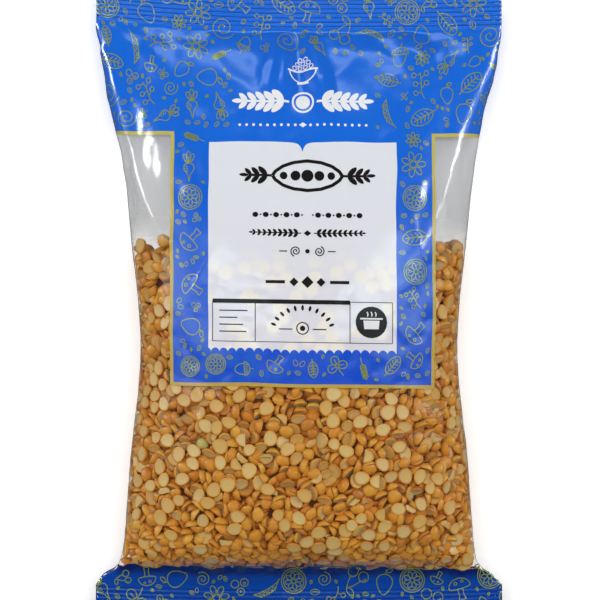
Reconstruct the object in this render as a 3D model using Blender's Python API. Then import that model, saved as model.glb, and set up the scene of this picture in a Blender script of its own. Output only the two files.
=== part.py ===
"""A sealed pillow pack of split yellow gram, lying on its back with its printed front up.

The pack is one closed solid in metres. X runs across it, Y along it to its top end and Z up
through its front. The origin is in the middle of its length and width, on the surface it lies on.
"""

import math
import random

import bmesh
import bpy
import numpy as np

# The form at places along the pack: place, half width, underside, side edge and front, in metres.
# The ends of the list are where the flat crimped seals begin.
STATIONS = [
    (-0.1270, 0.0914, 0.0255, 0.0260, 0.0265),
    (-0.1215, 0.0870, 0.0200, 0.0262, 0.0295),
    (-0.1185, 0.0827, 0.0150, 0.0265, 0.0350),
    (-0.1145, 0.0803, 0.0090, 0.0270, 0.0460),
    (-0.1080, 0.0790, 0.0035, 0.0270, 0.0560),
    (-0.0950, 0.0779, -0.0022, 0.0275, 0.0630),
    (-0.0700, 0.0760, -0.0032, 0.0280, 0.0670),
    (-0.0220, 0.0715, -0.0032, 0.0280, 0.0690),
    (0.0280, 0.0754, -0.0022, 0.0270, 0.0630),
    (0.0550, 0.0783, 0.0005, 0.0255, 0.0550),
    (0.0820, 0.0826, 0.0040, 0.0235, 0.0445),
    (0.1000, 0.0868, 0.0090, 0.0225, 0.0360),
    (0.1120, 0.0893, 0.0145, 0.0215, 0.0290),
    (0.1190, 0.0912, 0.0185, 0.0210, 0.0237),
    (0.1230, 0.0914, 0.0205, 0.0210, 0.0215),
]
BELLY_FRONT_POWER = 2.2
BELLY_BACK_POWER = 2.8
SEAL_POWER = 2.0
ROUND_REACH = 0.030

# The crimped seals across both ends, each bowed a little along the pack.
SEAL_WIDTH = 0.014
CRIMP_PITCH = 0.002
CRIMP_DEPTH = 0.0005
SEAL_WAVE_HEIGHT = 0.0008
SEAL_WAVES = 2.5
BOW_REACH = 0.030
TOP_BOW_LEFT = 0.0054
TOP_BOW_RIGHT = 0.0010
BOTTOM_BOW_SIDE = 0.0018

# The split grams, 6 mm across, push the film out in low bumps up to the level they fill.
COLUMNS = 84
SEAL_COLUMNS = 28
GRAIN_ROW_PITCH = 0.00365
HEADSPACE_ROW_PITCH = 0.0068
ROW_SLOPE_SHARE = 0.5
GRAINS_FROM = -0.1205
GRAINS_TO = 0.0280
BUMP_LOWEST = 0.0007
BUMP_HIGHEST = 0.0014
BUMP_HOLLOW = 0.0004
BUMP_FADE_HEIGHT = 0.006
BUMP_FROM_SEAL = 0.008
BUMP_SEED = 17
SQUARE_ROWS_REACH = 0.022

# Folds of the film over the empty top of the pack: from, to, half width and height.
# A fold is highest halfway along and keeps a share of its height at its ends.
FOLD_END_SHARE = 0.35
FOLD_FROM_SEAL = 0.006
FOLDS = [
    ((-0.0864, 0.1090), (-0.0756, 0.0685), 0.0040, 0.0014),
    ((-0.0756, 0.0685), (-0.0600, 0.0280), 0.0045, 0.0012),
    ((0.0891, 0.1158), (0.0725, 0.0753), 0.0040, 0.0014),
    ((0.0725, 0.0753), (0.0621, 0.0393), 0.0045, 0.0014),
    ((0.0621, 0.0393), (0.0464, 0.0033), 0.0050, 0.0010),
    ((-0.0065, 0.1200), (-0.0095, 0.0860), 0.0045, 0.0020),
    ((0.0040, 0.1200), (0.0140, 0.0800), 0.0045, 0.0020),
    ((-0.0010, 0.1200), (0.0010, 0.0900), 0.0035, -0.0016),
    ((0.0480, 0.1200), (0.0600, 0.0980), 0.0050, 0.0016),
    ((-0.0690, 0.1200), (-0.0580, 0.0980), 0.0050, 0.0016),
]

# The print: a blue band at each end and a blue panel with a white label, and clear film between.
HEADER_FROM = 0.0755
FOOTER_TO = -0.1190
PANEL_LEFT = -0.0585
PANEL_RIGHT = 0.0616
PANEL_FROM = -0.0375
LABEL_HALF_WIDTH = 0.0420
LABEL_CENTRE = 0.0018
LABEL_FROM = -0.0220
LABEL_TO = 0.0735

# How finely a loop and the pack's length are measured before points are spaced evenly on them.
LOOP_SAMPLES = 241
LENGTH_SAMPLES = 400
BASE_TOLERANCE = 1e-7
SHARP_ANGLE = math.radians(45)

PRINT_BLUE = "1C5FD6"
LABEL_WHITE = "DFE3EA"
GRAM_TAN = "B97F45"


def smooth_curve(places, values):
    """A smooth curve through the stations, which never swings past them."""
    slopes = np.diff(values) / np.diff(places)
    tangents = np.zeros(len(places))
    tangents[0] = slopes[0]
    tangents[-1] = slopes[-1]
    for i in range(1, len(places) - 1):
        before = slopes[i - 1]
        after = slopes[i]
        if before * after > 0:
            tangents[i] = 2 * before * after / (before + after)

    def value_at(place):
        place = min(max(place, places[0]), places[-1])
        i = min(int(np.searchsorted(places, place, side="right")) - 1, len(places) - 2)
        gap = places[i + 1] - places[i]
        t = (place - places[i]) / gap
        return ((1 + 2 * t) * (1 - t) ** 2 * values[i] + t * (1 - t) ** 2 * gap * tangents[i]
                + t * t * (3 - 2 * t) * values[i + 1] + t * t * (t - 1) * gap * tangents[i + 1])

    return value_at


STATION_COLUMNS = np.array(STATIONS).T
BOTTOM_SEAL = STATIONS[0][0]
TOP_SEAL = STATIONS[-1][0]
HALF_WIDTH_AT = smooth_curve(STATION_COLUMNS[0], STATION_COLUMNS[1])
UNDER_AT = smooth_curve(STATION_COLUMNS[0], STATION_COLUMNS[2])
EDGE_AT = smooth_curve(STATION_COLUMNS[0], STATION_COLUMNS[3])
OVER_AT = smooth_curve(STATION_COLUMNS[0], STATION_COLUMNS[4])
LENGTH_MIDDLE = (TOP_SEAL + TOP_BOW_LEFT + BOTTOM_SEAL - BOTTOM_BOW_SIDE) / 2


def ease(share):
    """A soft step from 0 to 1."""
    share = min(max(share, 0.0), 1.0)
    return share * share * (3 - 2 * share)


def from_end(along):
    """How far a place is from the nearer seal."""
    return min(along - BOTTOM_SEAL, TOP_SEAL - along)


def bow(across, along):
    """How far the film is drawn along the pack near its bowed seals."""
    side = across / HALF_WIDTH_AT(TOP_SEAL)
    if along > 0:
        rise = TOP_BOW_LEFT if side < 0 else TOP_BOW_RIGHT
        near = ease(1 - (TOP_SEAL - along) / BOW_REACH)
        return rise * side * side * near
    near = ease(1 - (along - BOTTOM_SEAL) / BOW_REACH)
    return -BOTTOM_BOW_SIDE * (1 - side * side) * near


def half_loop(half_width, rise, power, shares):
    """Points over a half superellipse, at even shares of its length from left to right."""
    angles = np.linspace(0, math.pi, LOOP_SAMPLES)
    across = -half_width * np.sign(np.cos(angles)) * np.abs(np.cos(angles)) ** (2 / power)
    height = rise * np.abs(np.sin(angles)) ** (2 / power)
    steps = np.hypot(np.diff(across), np.diff(height))
    length = np.concatenate([[0.0], np.cumsum(steps)])
    wanted = np.asarray(shares) * length[-1]
    return np.interp(wanted, length, across), np.interp(wanted, length, height)


def loop_at(along, shares):
    """The pack's loop at a place: shares 0 to 0.5 run over the front, 0.5 to 1 under the back."""
    half_width = HALF_WIDTH_AT(along)
    edge = EDGE_AT(along)
    roundness = ease(from_end(along) / ROUND_REACH)
    front_power = SEAL_POWER + (BELLY_FRONT_POWER - SEAL_POWER) * roundness
    back_power = SEAL_POWER + (BELLY_BACK_POWER - SEAL_POWER) * roundness
    front = shares[shares < 0.5]
    back = shares[shares >= 0.5]
    front_x, front_rise = half_loop(half_width, OVER_AT(along) - edge, front_power, front * 2)
    back_x, back_drop = half_loop(half_width, edge - UNDER_AT(along), back_power, back * 2 - 1)
    across = np.concatenate([front_x, -back_x])
    height = np.concatenate([edge + front_rise, edge - back_drop])
    return across, height


def seal_wave(across, half_width):
    """The gentle wave of a stiff seal across the pack."""
    return SEAL_WAVE_HEIGHT * math.sin(SEAL_WAVES * math.pi * across / half_width)


def fold_height(across, along):
    """The height of the film's folds at a place on the front."""
    total = 0.0
    for start, end, half_width, height in FOLDS:
        run = np.subtract(end, start)
        offset = np.subtract((across, along), start)
        share = float(np.dot(offset, run) / np.dot(run, run))
        share = min(max(share, 0.0), 1.0)
        distance = float(np.linalg.norm(offset - share * run))
        swell = FOLD_END_SHARE + (1 - FOLD_END_SHARE) * math.sin(math.pi * share)
        total += height * swell * math.exp(-(distance / half_width) ** 2)
    return total * ease(from_end(along) / FOLD_FROM_SEAL)


def row_places(start, end, pitch):
    """Even rows between two places, counted along the slope of the front."""
    along = np.linspace(start, end, LENGTH_SAMPLES)
    over = np.array([OVER_AT(place) for place in along])
    steps = np.hypot(np.diff(along), ROW_SLOPE_SHARE * np.diff(over))
    length = np.concatenate([[0.0], np.cumsum(steps)])
    count = max(1, round(length[-1] / pitch))
    return list(np.interp(np.linspace(0, length[-1], count + 1), length, along))


def body_points(along, row, staggered, with_grains, rng):
    """One ring of the pack's body, with its folds and the grams' bumps."""
    shares = (np.arange(COLUMNS) + (0.5 if staggered else 0.0)) / COLUMNS
    across, height = loop_at(along, shares)
    middle = EDGE_AT(along)
    points = []
    for i in range(COLUMNS):
        x = float(across[i])
        z = float(height[i])
        before = i - 1
        after = (i + 1) % COLUMNS
        out = np.array([-(height[after] - height[before]), across[after] - across[before]])
        out = out / float(np.linalg.norm(out))
        lift = 0.0
        if shares[i] < 0.5:
            lift += fold_height(x, along)
        if with_grains:
            lattice_column = i - row // 2
            size = rng.uniform(BUMP_LOWEST, BUMP_HIGHEST)
            bump = size if (lattice_column - row) % 3 == 0 else -BUMP_HOLLOW
            near_base = ease(z / BUMP_FADE_HEIGHT) if z < middle else 1.0
            lift += bump * near_base * ease(from_end(along) / BUMP_FROM_SEAL)
        x += float(out[0]) * lift
        wave = seal_wave(x, HALF_WIDTH_AT(along)) * ease(1 - from_end(along) / BOW_REACH)
        z = max(z + float(out[1]) * lift + wave, 0.0)
        points.append((x, along + bow(x, along) - LENGTH_MIDDLE, z))
    return points


def seal_points(seal_start, outward, row):
    """One ring of a crimped seal, a thin strip with ridges running across the pack."""
    shares = np.arange(SEAL_COLUMNS) / SEAL_COLUMNS
    across, height = loop_at(seal_start, shares)
    crimp = CRIMP_DEPTH / 2 * (1 if row % 2 else -1)
    beyond = row * CRIMP_PITCH / 2 * outward
    points = []
    for x, z in zip(across, height):
        wave = seal_wave(float(x), HALF_WIDTH_AT(seal_start))
        y = seal_start + bow(float(x), seal_start) + beyond - LENGTH_MIDDLE
        points.append((float(x), y, float(z) + wave + crimp))
    return points


def join_rings(bm, first, second, first_staggered, second_staggered):
    """Faces between two rings of the same count, which may be half a column apart."""
    count = len(first)
    for i in range(count):
        j = (i + 1) % count
        if first_staggered == second_staggered:
            bm.faces.new((first[i], first[j], second[j], second[i]))
        elif second_staggered:
            bm.faces.new((first[i], first[j], second[i]))
            bm.faces.new((second[i], first[j], second[j]))
        else:
            bm.faces.new((first[i], second[j], second[i]))
            bm.faces.new((first[i], first[j], second[j]))


def join_fine_to_coarse(bm, fine, coarse):
    """Faces between a body ring and a seal ring, which has one point for every three."""
    count = len(coarse)
    ratio = len(fine) // count
    for i in range(count):
        here = coarse[i]
        there = coarse[(i + 1) % count]
        a = [fine[(i * ratio + k) % len(fine)] for k in range(ratio + 1)]
        bm.faces.new((here, a[0], a[1]))
        bm.faces.new((here, a[1], there))
        bm.faces.new((there, a[1], a[2]))
        bm.faces.new((there, a[2], a[3]))


def add_seal(bm, body_ring, seal_start, outward):
    """A crimped seal beyond one end of the body, closed by its cut edge."""
    row_count = round(SEAL_WIDTH / (CRIMP_PITCH / 2))
    previous = None
    for row in range(1, row_count + 1):
        ring = [bm.verts.new(point) for point in seal_points(seal_start, outward, row)]
        if previous is None:
            join_fine_to_coarse(bm, body_ring, ring)
        else:
            join_rings(bm, previous, ring, False, False)
        previous = ring
    half = len(previous) // 2
    for i in range(half - 1):
        top = (previous[i], previous[i + 1])
        under = (previous[-i - 1], previous[-i % len(previous)])
        corners = [top[0], top[1], under[0]]
        if i > 0:
            corners.append(under[1])
        bm.faces.new(corners)
    bm.faces.new((previous[half - 1], previous[half], previous[half + 1]))


def body_rows():
    """Each ring's place along the pack, whether it is staggered and whether grams push it out."""
    grain_rows = row_places(GRAINS_FROM, GRAINS_TO, GRAIN_ROW_PITCH)
    upper_rows = row_places(GRAINS_TO, TOP_SEAL, HEADSPACE_ROW_PITCH)[1:]
    lower_rows = row_places(BOTTOM_SEAL, GRAINS_FROM, GRAIN_ROW_PITCH)[:-1]
    rows = []
    for place in lower_rows + grain_rows + upper_rows:
        grains = GRAINS_FROM <= place <= GRAINS_TO
        staggered = len(rows) % 2 == 1 and from_end(place) > SQUARE_ROWS_REACH
        if grains:
            staggered = len(rows) % 2 == 1
        rows.append((place, staggered, grains))
    return rows


def flatten_base(bm):
    """Joins the faces that lie on the surface below into one flat face."""
    base = [face for face in bm.faces if all(vert.co.z < BASE_TOLERANCE for vert in face.verts)]
    bmesh.ops.dissolve_faces(bm, faces=base, use_verts=True)


def print_field(centre):
    """Which field of the print a place on the pack belongs to: 0 gram, 1 blue, 2 white label."""
    along = centre.y + LENGTH_MIDDLE
    front = centre.z > EDGE_AT(along)
    if front and abs(centre.x - LABEL_CENTRE) < LABEL_HALF_WIDTH and LABEL_FROM < along < LABEL_TO:
        return 2
    if along > HEADER_FROM or along < FOOTER_TO:
        return 1
    if PANEL_LEFT < centre.x < PANEL_RIGHT and (along > PANEL_FROM or not front):
        return 1
    return 0


def linear_colour(hex_value):
    """The linear colour of an sRGB hex value."""
    channels = [int(hex_value[i:i + 2], 16) / 255 for i in (0, 2, 4)]
    return [c / 12.92 if c <= 0.04045 else ((c + 0.055) / 1.055) ** 2.4 for c in channels] + [1.0]


def field_material(name, hex_value, roughness):
    """One field of the pack's colours, under glossy film."""
    material = bpy.data.materials.new(name)
    material.use_nodes = True
    shader = material.node_tree.nodes["Principled BSDF"]
    shader.inputs["Base Color"].default_value = linear_colour(hex_value)
    shader.inputs["Roughness"].default_value = roughness
    shader.inputs["Metallic"].default_value = 0.0
    return material


def make_bag():
    """The filled and sealed pack as one closed solid."""
    rng = random.Random(BUMP_SEED)
    bm = bmesh.new()
    previous = None
    previous_staggered = False
    first_ring = None
    for row, (place, staggered, grains) in enumerate(body_rows()):
        ring = [bm.verts.new(point) for point in body_points(place, row, staggered, grains, rng)]
        if previous is None:
            first_ring = ring
        else:
            join_rings(bm, previous, ring, previous_staggered, staggered)
        previous = ring
        previous_staggered = staggered
    add_seal(bm, first_ring, BOTTOM_SEAL, -1)
    add_seal(bm, previous, TOP_SEAL, 1)
    flatten_base(bm)
    bmesh.ops.recalc_face_normals(bm, faces=bm.faces[:])
    for face in bm.faces:
        face.material_index = print_field(face.calc_center_median())
    mesh = bpy.data.meshes.new("bag")
    bm.to_mesh(mesh)
    bm.free()
    mesh.materials.append(field_material("gram_behind_film", GRAM_TAN, 0.35))
    mesh.materials.append(field_material("blue_printed_film", PRINT_BLUE, 0.25))
    mesh.materials.append(field_material("white_printed_film", LABEL_WHITE, 0.25))
    mesh.shade_smooth()
    mesh.set_sharp_from_angle(angle=SHARP_ANGLE)
    bag = bpy.data.objects.new("bag", mesh)
    bpy.context.scene.collection.objects.link(bag)
    return bag


def main():
    for old in list(bpy.data.objects):
        bpy.data.objects.remove(old)
    make_bag()


main()
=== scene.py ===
import math
import random

import bpy
import numpy as np
from mathutils import Matrix, Quaternion, Vector, noise
from mathutils.bvhtree import BVHTree
from mathutils.kdtree import KDTree


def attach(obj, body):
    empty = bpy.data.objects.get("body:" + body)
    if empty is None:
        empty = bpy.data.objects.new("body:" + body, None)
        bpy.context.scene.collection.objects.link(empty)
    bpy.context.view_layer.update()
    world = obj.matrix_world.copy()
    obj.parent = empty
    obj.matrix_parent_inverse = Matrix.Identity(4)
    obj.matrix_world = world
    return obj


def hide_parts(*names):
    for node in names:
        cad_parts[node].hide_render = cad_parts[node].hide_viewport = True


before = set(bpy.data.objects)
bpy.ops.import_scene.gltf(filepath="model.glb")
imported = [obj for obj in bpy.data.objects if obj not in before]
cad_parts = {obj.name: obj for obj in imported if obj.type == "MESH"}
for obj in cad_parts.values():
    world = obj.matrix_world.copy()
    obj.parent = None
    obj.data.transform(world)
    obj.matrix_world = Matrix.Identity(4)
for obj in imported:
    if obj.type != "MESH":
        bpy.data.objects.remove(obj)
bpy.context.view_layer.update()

MM = 0.001

# The form of the pack, as its solid has it: place along, half width, underside, side edge, front.
STATIONS = [
    (-0.1270, 0.0914, 0.0255, 0.0260, 0.0265),
    (-0.1215, 0.0870, 0.0200, 0.0262, 0.0295),
    (-0.1185, 0.0827, 0.0150, 0.0265, 0.0350),
    (-0.1145, 0.0803, 0.0090, 0.0270, 0.0460),
    (-0.1080, 0.0790, 0.0035, 0.0270, 0.0560),
    (-0.0950, 0.0779, -0.0022, 0.0275, 0.0630),
    (-0.0700, 0.0760, -0.0032, 0.0280, 0.0670),
    (-0.0220, 0.0715, -0.0032, 0.0280, 0.0690),
    (0.0280, 0.0754, -0.0022, 0.0270, 0.0630),
    (0.0550, 0.0783, 0.0005, 0.0255, 0.0550),
    (0.0820, 0.0826, 0.0040, 0.0235, 0.0445),
    (0.1000, 0.0868, 0.0090, 0.0225, 0.0360),
    (0.1120, 0.0893, 0.0145, 0.0215, 0.0290),
    (0.1190, 0.0912, 0.0185, 0.0210, 0.0237),
    (0.1230, 0.0914, 0.0205, 0.0210, 0.0215),
]
BELLY_FRONT_POWER = 2.2
BELLY_BACK_POWER = 2.8
SEAL_POWER = 2.0
ROUND_REACH = 0.030
SEAL_WIDTH = 0.014
SEAL_WAVE_HEIGHT = 0.0008
SEAL_WAVES = 2.5
BOW_REACH = 0.030
TOP_BOW_LEFT = 0.0054
TOP_BOW_RIGHT = 0.0010
BOTTOM_BOW_SIDE = 0.0018

# The film: how finely it is laid, and how thick its welded seals are.
FILM_COLUMNS = 300
FILM_ROW_PITCH = 0.00115
ROW_SAMPLES = 400
FRONT_SLOPE_SHARE = 0.5
SEAL_FLATNESS = 0.35
SEAL_FLAT_REACH = 0.004
CRIMP_PITCH = 0.002
CRIMP_DEPTH = 0.00026
CRIMP_FLAT = 0.00030
CRIMP_FLOOR = 0.00010
FILM_LOWEST = 0.0006
FIN_HALF_WIDTH = 0.006
FIN_STEP = 0.00012

# The grams fill the pack from its bottom seal up to this place.
FILL_LINE = 0.0280
FILL_BOTTOM = -0.1245
FILL_WIDTH = 0.252
FILL_HEIGHT = 0.190
FILL_GIRTH = 0.357
BACK_SEAM = 0.0010
BACK_DEEPEST = 5.5
HEAP_TOP_SHARE = 98.5
HEAP_CAP_DEEPEST = 7.0
CAP_BELOW_LINE = 0.0035
CAP_FROM_SIDE = 0.006
CAP_FROM_FILM = 0.007
CAP_SKIPS = 40
HEAP_HILL = 0.009
HEAP_KNOLL = 0.004
HEAP_UNEVEN = 0.0045
HEAP_TILT = 0.018
SETTLE_LAYERS = 4
SETTLE_PITCH = 7.4
SETTLE_FIRST = (4.6, 4.4, 4.2)
SETTLE_LAYER_GAP = 7.0
SETTLE_FRAMES = 22
SETTLE_PULL = 3000
SETTLE_SLANT = 0.55
FLIP_SHARE = 0.08
PROP_SHARE = 0.40
FACE_PROP_SHARE = 0.32
GRAM_SIDES = 12
GRAM_DEEPEST = 7.4
GRAM_FROM_EDGE = 0.0042
FOOT_NARROWS = -0.112
DOME_OUT = 0.35
FACE_OUT = 0.6
PROP_ANGLES = (45, 78)
BURIED_FROM = 0.0003
BURIED_REACH = 0.0018
FILM_CLEARANCE = 0.00050
DISC_REACH = 0.0038
DISC_EDGE = 0.0014
FLAT_ON = 0.88
UNRIPE_GRAM = (-0.0417, -0.0605, 0.058)
FILM_SINKS = 0.45
PRESSED_FROM = -0.1225
PRESSED_FOOT = 0.006
PRESSED_BELOW_LINE = 0.003
PRESSED_REACH = 0.014
FILM_STANDS_OFF = 0.0012
FILM_SEEKS = 0.002
FILM_SAG = 0.0016
CORE_DEPTH = 0.0072
CORE_FROM = -0.1185
CORE_BELOW_LINE = 0.0060
CORE_ROW_PITCH = 0.004
CORE_COLUMNS = 72

# The print, as places on the pack seen from the front.
HEADER_FROM = 0.0748
FOOTER_TO = -0.1187
PANEL_LEFT = -0.0573
PANEL_RIGHT = 0.0608
PANEL_FROM = -0.0372
GOLD_LINE = 0.0015
LABEL_LEFT = -0.0403
LABEL_RIGHT = 0.0431
LABEL_FROM = -0.0215
LABEL_TO = 0.0718
LABEL_SCALLOP = 0.0039
SCALLOP_DEPTH = 0.0018
NOTCH_DEPTH = 0.0044
NOTCH_HALF_WIDTH = 0.0011
BACK_PANEL_INSET = 0.004
LABEL_MIDDLE = 0.0018
FOOT_SLANT = 0.005
# How far into the footer its band of painted shade reaches.
FOOT_SHADE_EDGE = 0.0055
EMBLEM_MIDDLE = (0.0018, 0.0895)
EMBLEM_HALF_WIDTH = 0.031
EMBLEM_FROM = 0.076
EMBLEM_TO = 0.110
BOX_LEFT = -0.0382
BOX_FIRST = -0.0193
BOX_SECOND = 0.0226
BOX_RIGHT = 0.0415
BOX_TOP = 0.0002
BOX_LOW = -0.0177
DISC_MIDDLE = (0.0321, -0.0084)
MOTIF_LINE = 0.00042
SMALL_MOTIF_LINE = 0.00034
MOTIF_GAP = 0.0001
GOLD_LIFT = 0.00010
INK_LIFT = 0.00012
POT_LIFT = 0.00020
# How large the motifs are, from large to small, and how many places are tried for each size.
MOTIF_SIZES = ((0.0062, 4000), (0.0050, 6000), (0.0038, 7000), (0.0027, 8000), (0.0018, 8000),
               (0.0012, 6000))
PRINT_SLANT = 0.008
PRINT_SLANT_GAIN = 0.100

FILM_IOR = 1.50
CAMERA_HEIGHT = 2.4
FIELD = 0.270
OUTLINE_HEIGHT = 0.026
VIEW_CENTRE = (0.0005, 0.0012)


def smooth_curve(places, values):
    """A smooth curve through the stations, which never swings past them."""
    slopes = np.diff(values) / np.diff(places)
    tangents = np.zeros(len(places))
    tangents[0] = slopes[0]
    tangents[-1] = slopes[-1]
    for i in range(1, len(places) - 1):
        before = slopes[i - 1]
        after = slopes[i]
        if before * after > 0:
            tangents[i] = 2 * before * after / (before + after)

    def value_at(place):
        place = min(max(place, places[0]), places[-1])
        i = min(int(np.searchsorted(places, place, side="right")) - 1, len(places) - 2)
        gap = places[i + 1] - places[i]
        t = (place - places[i]) / gap
        return ((1 + 2 * t) * (1 - t) ** 2 * values[i] + t * (1 - t) ** 2 * gap * tangents[i]
                + t * t * (3 - 2 * t) * values[i + 1] + t * t * (t - 1) * gap * tangents[i + 1])

    return value_at


STATION_COLUMNS = np.array(STATIONS).T
BOTTOM_SEAL = STATIONS[0][0]
TOP_SEAL = STATIONS[-1][0]
HALF_WIDTH_AT = smooth_curve(STATION_COLUMNS[0], STATION_COLUMNS[1])
UNDER_AT = smooth_curve(STATION_COLUMNS[0], STATION_COLUMNS[2])
EDGE_AT = smooth_curve(STATION_COLUMNS[0], STATION_COLUMNS[3])
OVER_AT = smooth_curve(STATION_COLUMNS[0], STATION_COLUMNS[4])
LENGTH_MIDDLE = (TOP_SEAL + TOP_BOW_LEFT + BOTTOM_SEAL - BOTTOM_BOW_SIDE) / 2


def ease(share):
    """A soft step from 0 to 1."""
    share = np.clip(share, 0.0, 1.0)
    return share * share * (3 - 2 * share)


def from_end(along):
    """How far a place is from the nearer seal."""
    return min(along - BOTTOM_SEAL, TOP_SEAL - along)


def bow(across, along):
    """How far the film is drawn along the pack near its bowed seals."""
    side = across / HALF_WIDTH_AT(TOP_SEAL)
    if along > 0:
        rise = np.where(side < 0, TOP_BOW_LEFT, TOP_BOW_RIGHT)
        return rise * side * side * ease(1 - (TOP_SEAL - along) / BOW_REACH)
    return -BOTTOM_BOW_SIDE * (1 - side * side) * ease(1 - (along - BOTTOM_SEAL) / BOW_REACH)


def half_loop(half_width, rise, power, shares):
    """Points over a half superellipse, at even shares of its length from left to right."""
    angles = np.linspace(0, math.pi, 241)
    across = -half_width * np.sign(np.cos(angles)) * np.abs(np.cos(angles)) ** (2 / power)
    height = rise * np.abs(np.sin(angles)) ** (2 / power)
    steps = np.hypot(np.diff(across), np.diff(height))
    length = np.concatenate([[0.0], np.cumsum(steps)])
    wanted = np.asarray(shares) * length[-1]
    return np.interp(wanted, length, across), np.interp(wanted, length, height)


def loop_at(along, shares, inset=0.0):
    """The pack's loop at a place: shares 0 to 0.5 run over the front, 0.5 to 1 under the back."""
    half_width = HALF_WIDTH_AT(along) - inset
    edge = EDGE_AT(along)
    over = max(OVER_AT(along) - inset - edge, 0.0002)
    under = max(edge - UNDER_AT(along) - inset, 0.0002)
    roundness = ease(from_end(along) / ROUND_REACH)
    front_power = SEAL_POWER + (BELLY_FRONT_POWER - SEAL_POWER) * roundness
    back_power = SEAL_POWER + (BELLY_BACK_POWER - SEAL_POWER) * roundness
    front = shares[shares < 0.5]
    back = shares[shares >= 0.5]
    front_x, front_rise = half_loop(half_width, over, front_power, front * 2)
    back_x, back_drop = half_loop(half_width, under, back_power, back * 2 - 1)
    across = np.concatenate([front_x, -back_x])
    height = np.concatenate([edge + front_rise, edge - back_drop])
    return across, height


def row_places(start, end, pitch):
    """Even rows between two places, counted along the slope of the front."""
    along = np.linspace(start, end, ROW_SAMPLES)
    over = np.array([OVER_AT(place) for place in along])
    steps = np.hypot(np.diff(along), FRONT_SLOPE_SHARE * np.diff(over))
    length = np.concatenate([[0.0], np.cumsum(steps)])
    count = max(1, round(length[-1] / pitch))
    return np.interp(np.linspace(0, length[-1], count + 1), length, along)


def crimp_rows():
    """Distances out from a seal's start, and how deep the crimped sheet is there."""
    rows = []
    for crimp in range(round(SEAL_WIDTH / CRIMP_PITCH)):
        middle = (crimp + 0.5) * CRIMP_PITCH
        rows.append((middle - CRIMP_FLAT, 0.0))
        rows.append((middle - CRIMP_FLOOR, -CRIMP_DEPTH))
        rows.append((middle + CRIMP_FLOOR, -CRIMP_DEPTH))
        rows.append((middle + CRIMP_FLAT, 0.0))
    rows.append((SEAL_WIDTH, 0.0))
    return rows


def base_film():
    """The film's smooth form: points by row and column, each row's place, and which rows lie in crimp
    grooves, which get painted shade.
    """
    shares = np.arange(FILM_COLUMNS) / FILM_COLUMNS
    rows = []
    for reach, depth in reversed(crimp_rows()):
        rows.append((BOTTOM_SEAL, -reach, depth))
    for place in row_places(BOTTOM_SEAL, TOP_SEAL, FILM_ROW_PITCH):
        rows.append((place, 0.0, 0.0))
    for reach, depth in crimp_rows():
        rows.append((TOP_SEAL, reach, depth))
    points = np.zeros((len(rows), FILM_COLUMNS, 3))
    places = np.zeros(len(rows))
    for j, (along, beyond, depth) in enumerate(rows):
        across, height = loop_at(along, shares)
        edge = EDGE_AT(along)
        flatness = SEAL_FLATNESS + (1 - SEAL_FLATNESS) * ease(from_end(along) / SEAL_FLAT_REACH)
        height = edge + (height - edge) * flatness
        wave = SEAL_WAVE_HEIGHT * np.sin(SEAL_WAVES * math.pi * across / HALF_WIDTH_AT(along))
        height = height + wave * ease(1 - from_end(along) / BOW_REACH) + depth
        points[j, :, 0] = across
        points[j, :, 1] = along + bow(across, along) + beyond - LENGTH_MIDDLE
        points[j, :, 2] = height
        places[j] = along + beyond
    points[:, :, 2] = np.maximum(points[:, :, 2], FILM_LOWEST)
    grooves = np.array([1.0 if depth < 0 else 0.0 for _, _, depth in rows])
    return points, places, grooves


def surface_normals(points):
    """The way out of the pack at each point of the film."""
    around = np.roll(points, -1, axis=1) - np.roll(points, 1, axis=1)
    along = np.gradient(points, axis=0)
    normals = np.cross(around, along)
    length = np.linalg.norm(normals, axis=2, keepdims=True)
    return normals / np.maximum(length, 1e-12)


def crease(points, start, end, half_width, height, sharp=False, even=False):
    """A fold of the film along a straight line, seen from the front."""
    run = np.subtract(end, start)
    offset = points[:, :, :2] - np.array(start)
    share = np.clip(offset @ run / np.dot(run, run), 0.0, 1.0)
    distance = np.linalg.norm(offset - share[:, :, None] * run, axis=2)
    swell = 1.0 if even else 0.35 + 0.65 * np.sin(math.pi * share)
    if sharp:
        return height * swell * np.exp(-distance / half_width)
    return height * swell * np.exp(-(distance / half_width) ** 2)


# The folds that the solid has too: from, to, half width and height.
FOLDS = [
    ((-0.0864, 0.1090), (-0.0756, 0.0685), 0.0040, 0.0014),
    ((-0.0756, 0.0685), (-0.0600, 0.0280), 0.0045, 0.0012),
    ((0.0891, 0.1158), (0.0725, 0.0753), 0.0040, 0.0014),
    ((0.0725, 0.0753), (0.0621, 0.0393), 0.0045, 0.0014),
    ((0.0621, 0.0393), (0.0464, 0.0033), 0.0050, 0.0010),
    ((-0.0065, 0.1200), (-0.0095, 0.0860), 0.0045, 0.0020),
    ((0.0040, 0.1200), (0.0140, 0.0800), 0.0045, 0.0020),
    ((-0.0010, 0.1200), (0.0010, 0.0900), 0.0035, -0.0016),
    ((0.0480, 0.1200), (0.0600, 0.0980), 0.0050, 0.0016),
    ((-0.0690, 0.1200), (-0.0580, 0.0980), 0.0050, 0.0016),
]

# The long crest at the left of the slack film, from the top seal down to the grams.
LEFT_CREST = [(-0.0868, 0.1130), (-0.0830, 0.1023), (-0.0799, 0.0910), (-0.0773, 0.0798), (-0.0746, 0.0685),
              (-0.0715, 0.0573), (-0.0679, 0.0460), (-0.0626, 0.0348), (-0.0590, 0.0270)]
CREST_HALF_WIDTH = 0.0023
CREST_HEIGHT = 0.0012

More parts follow.
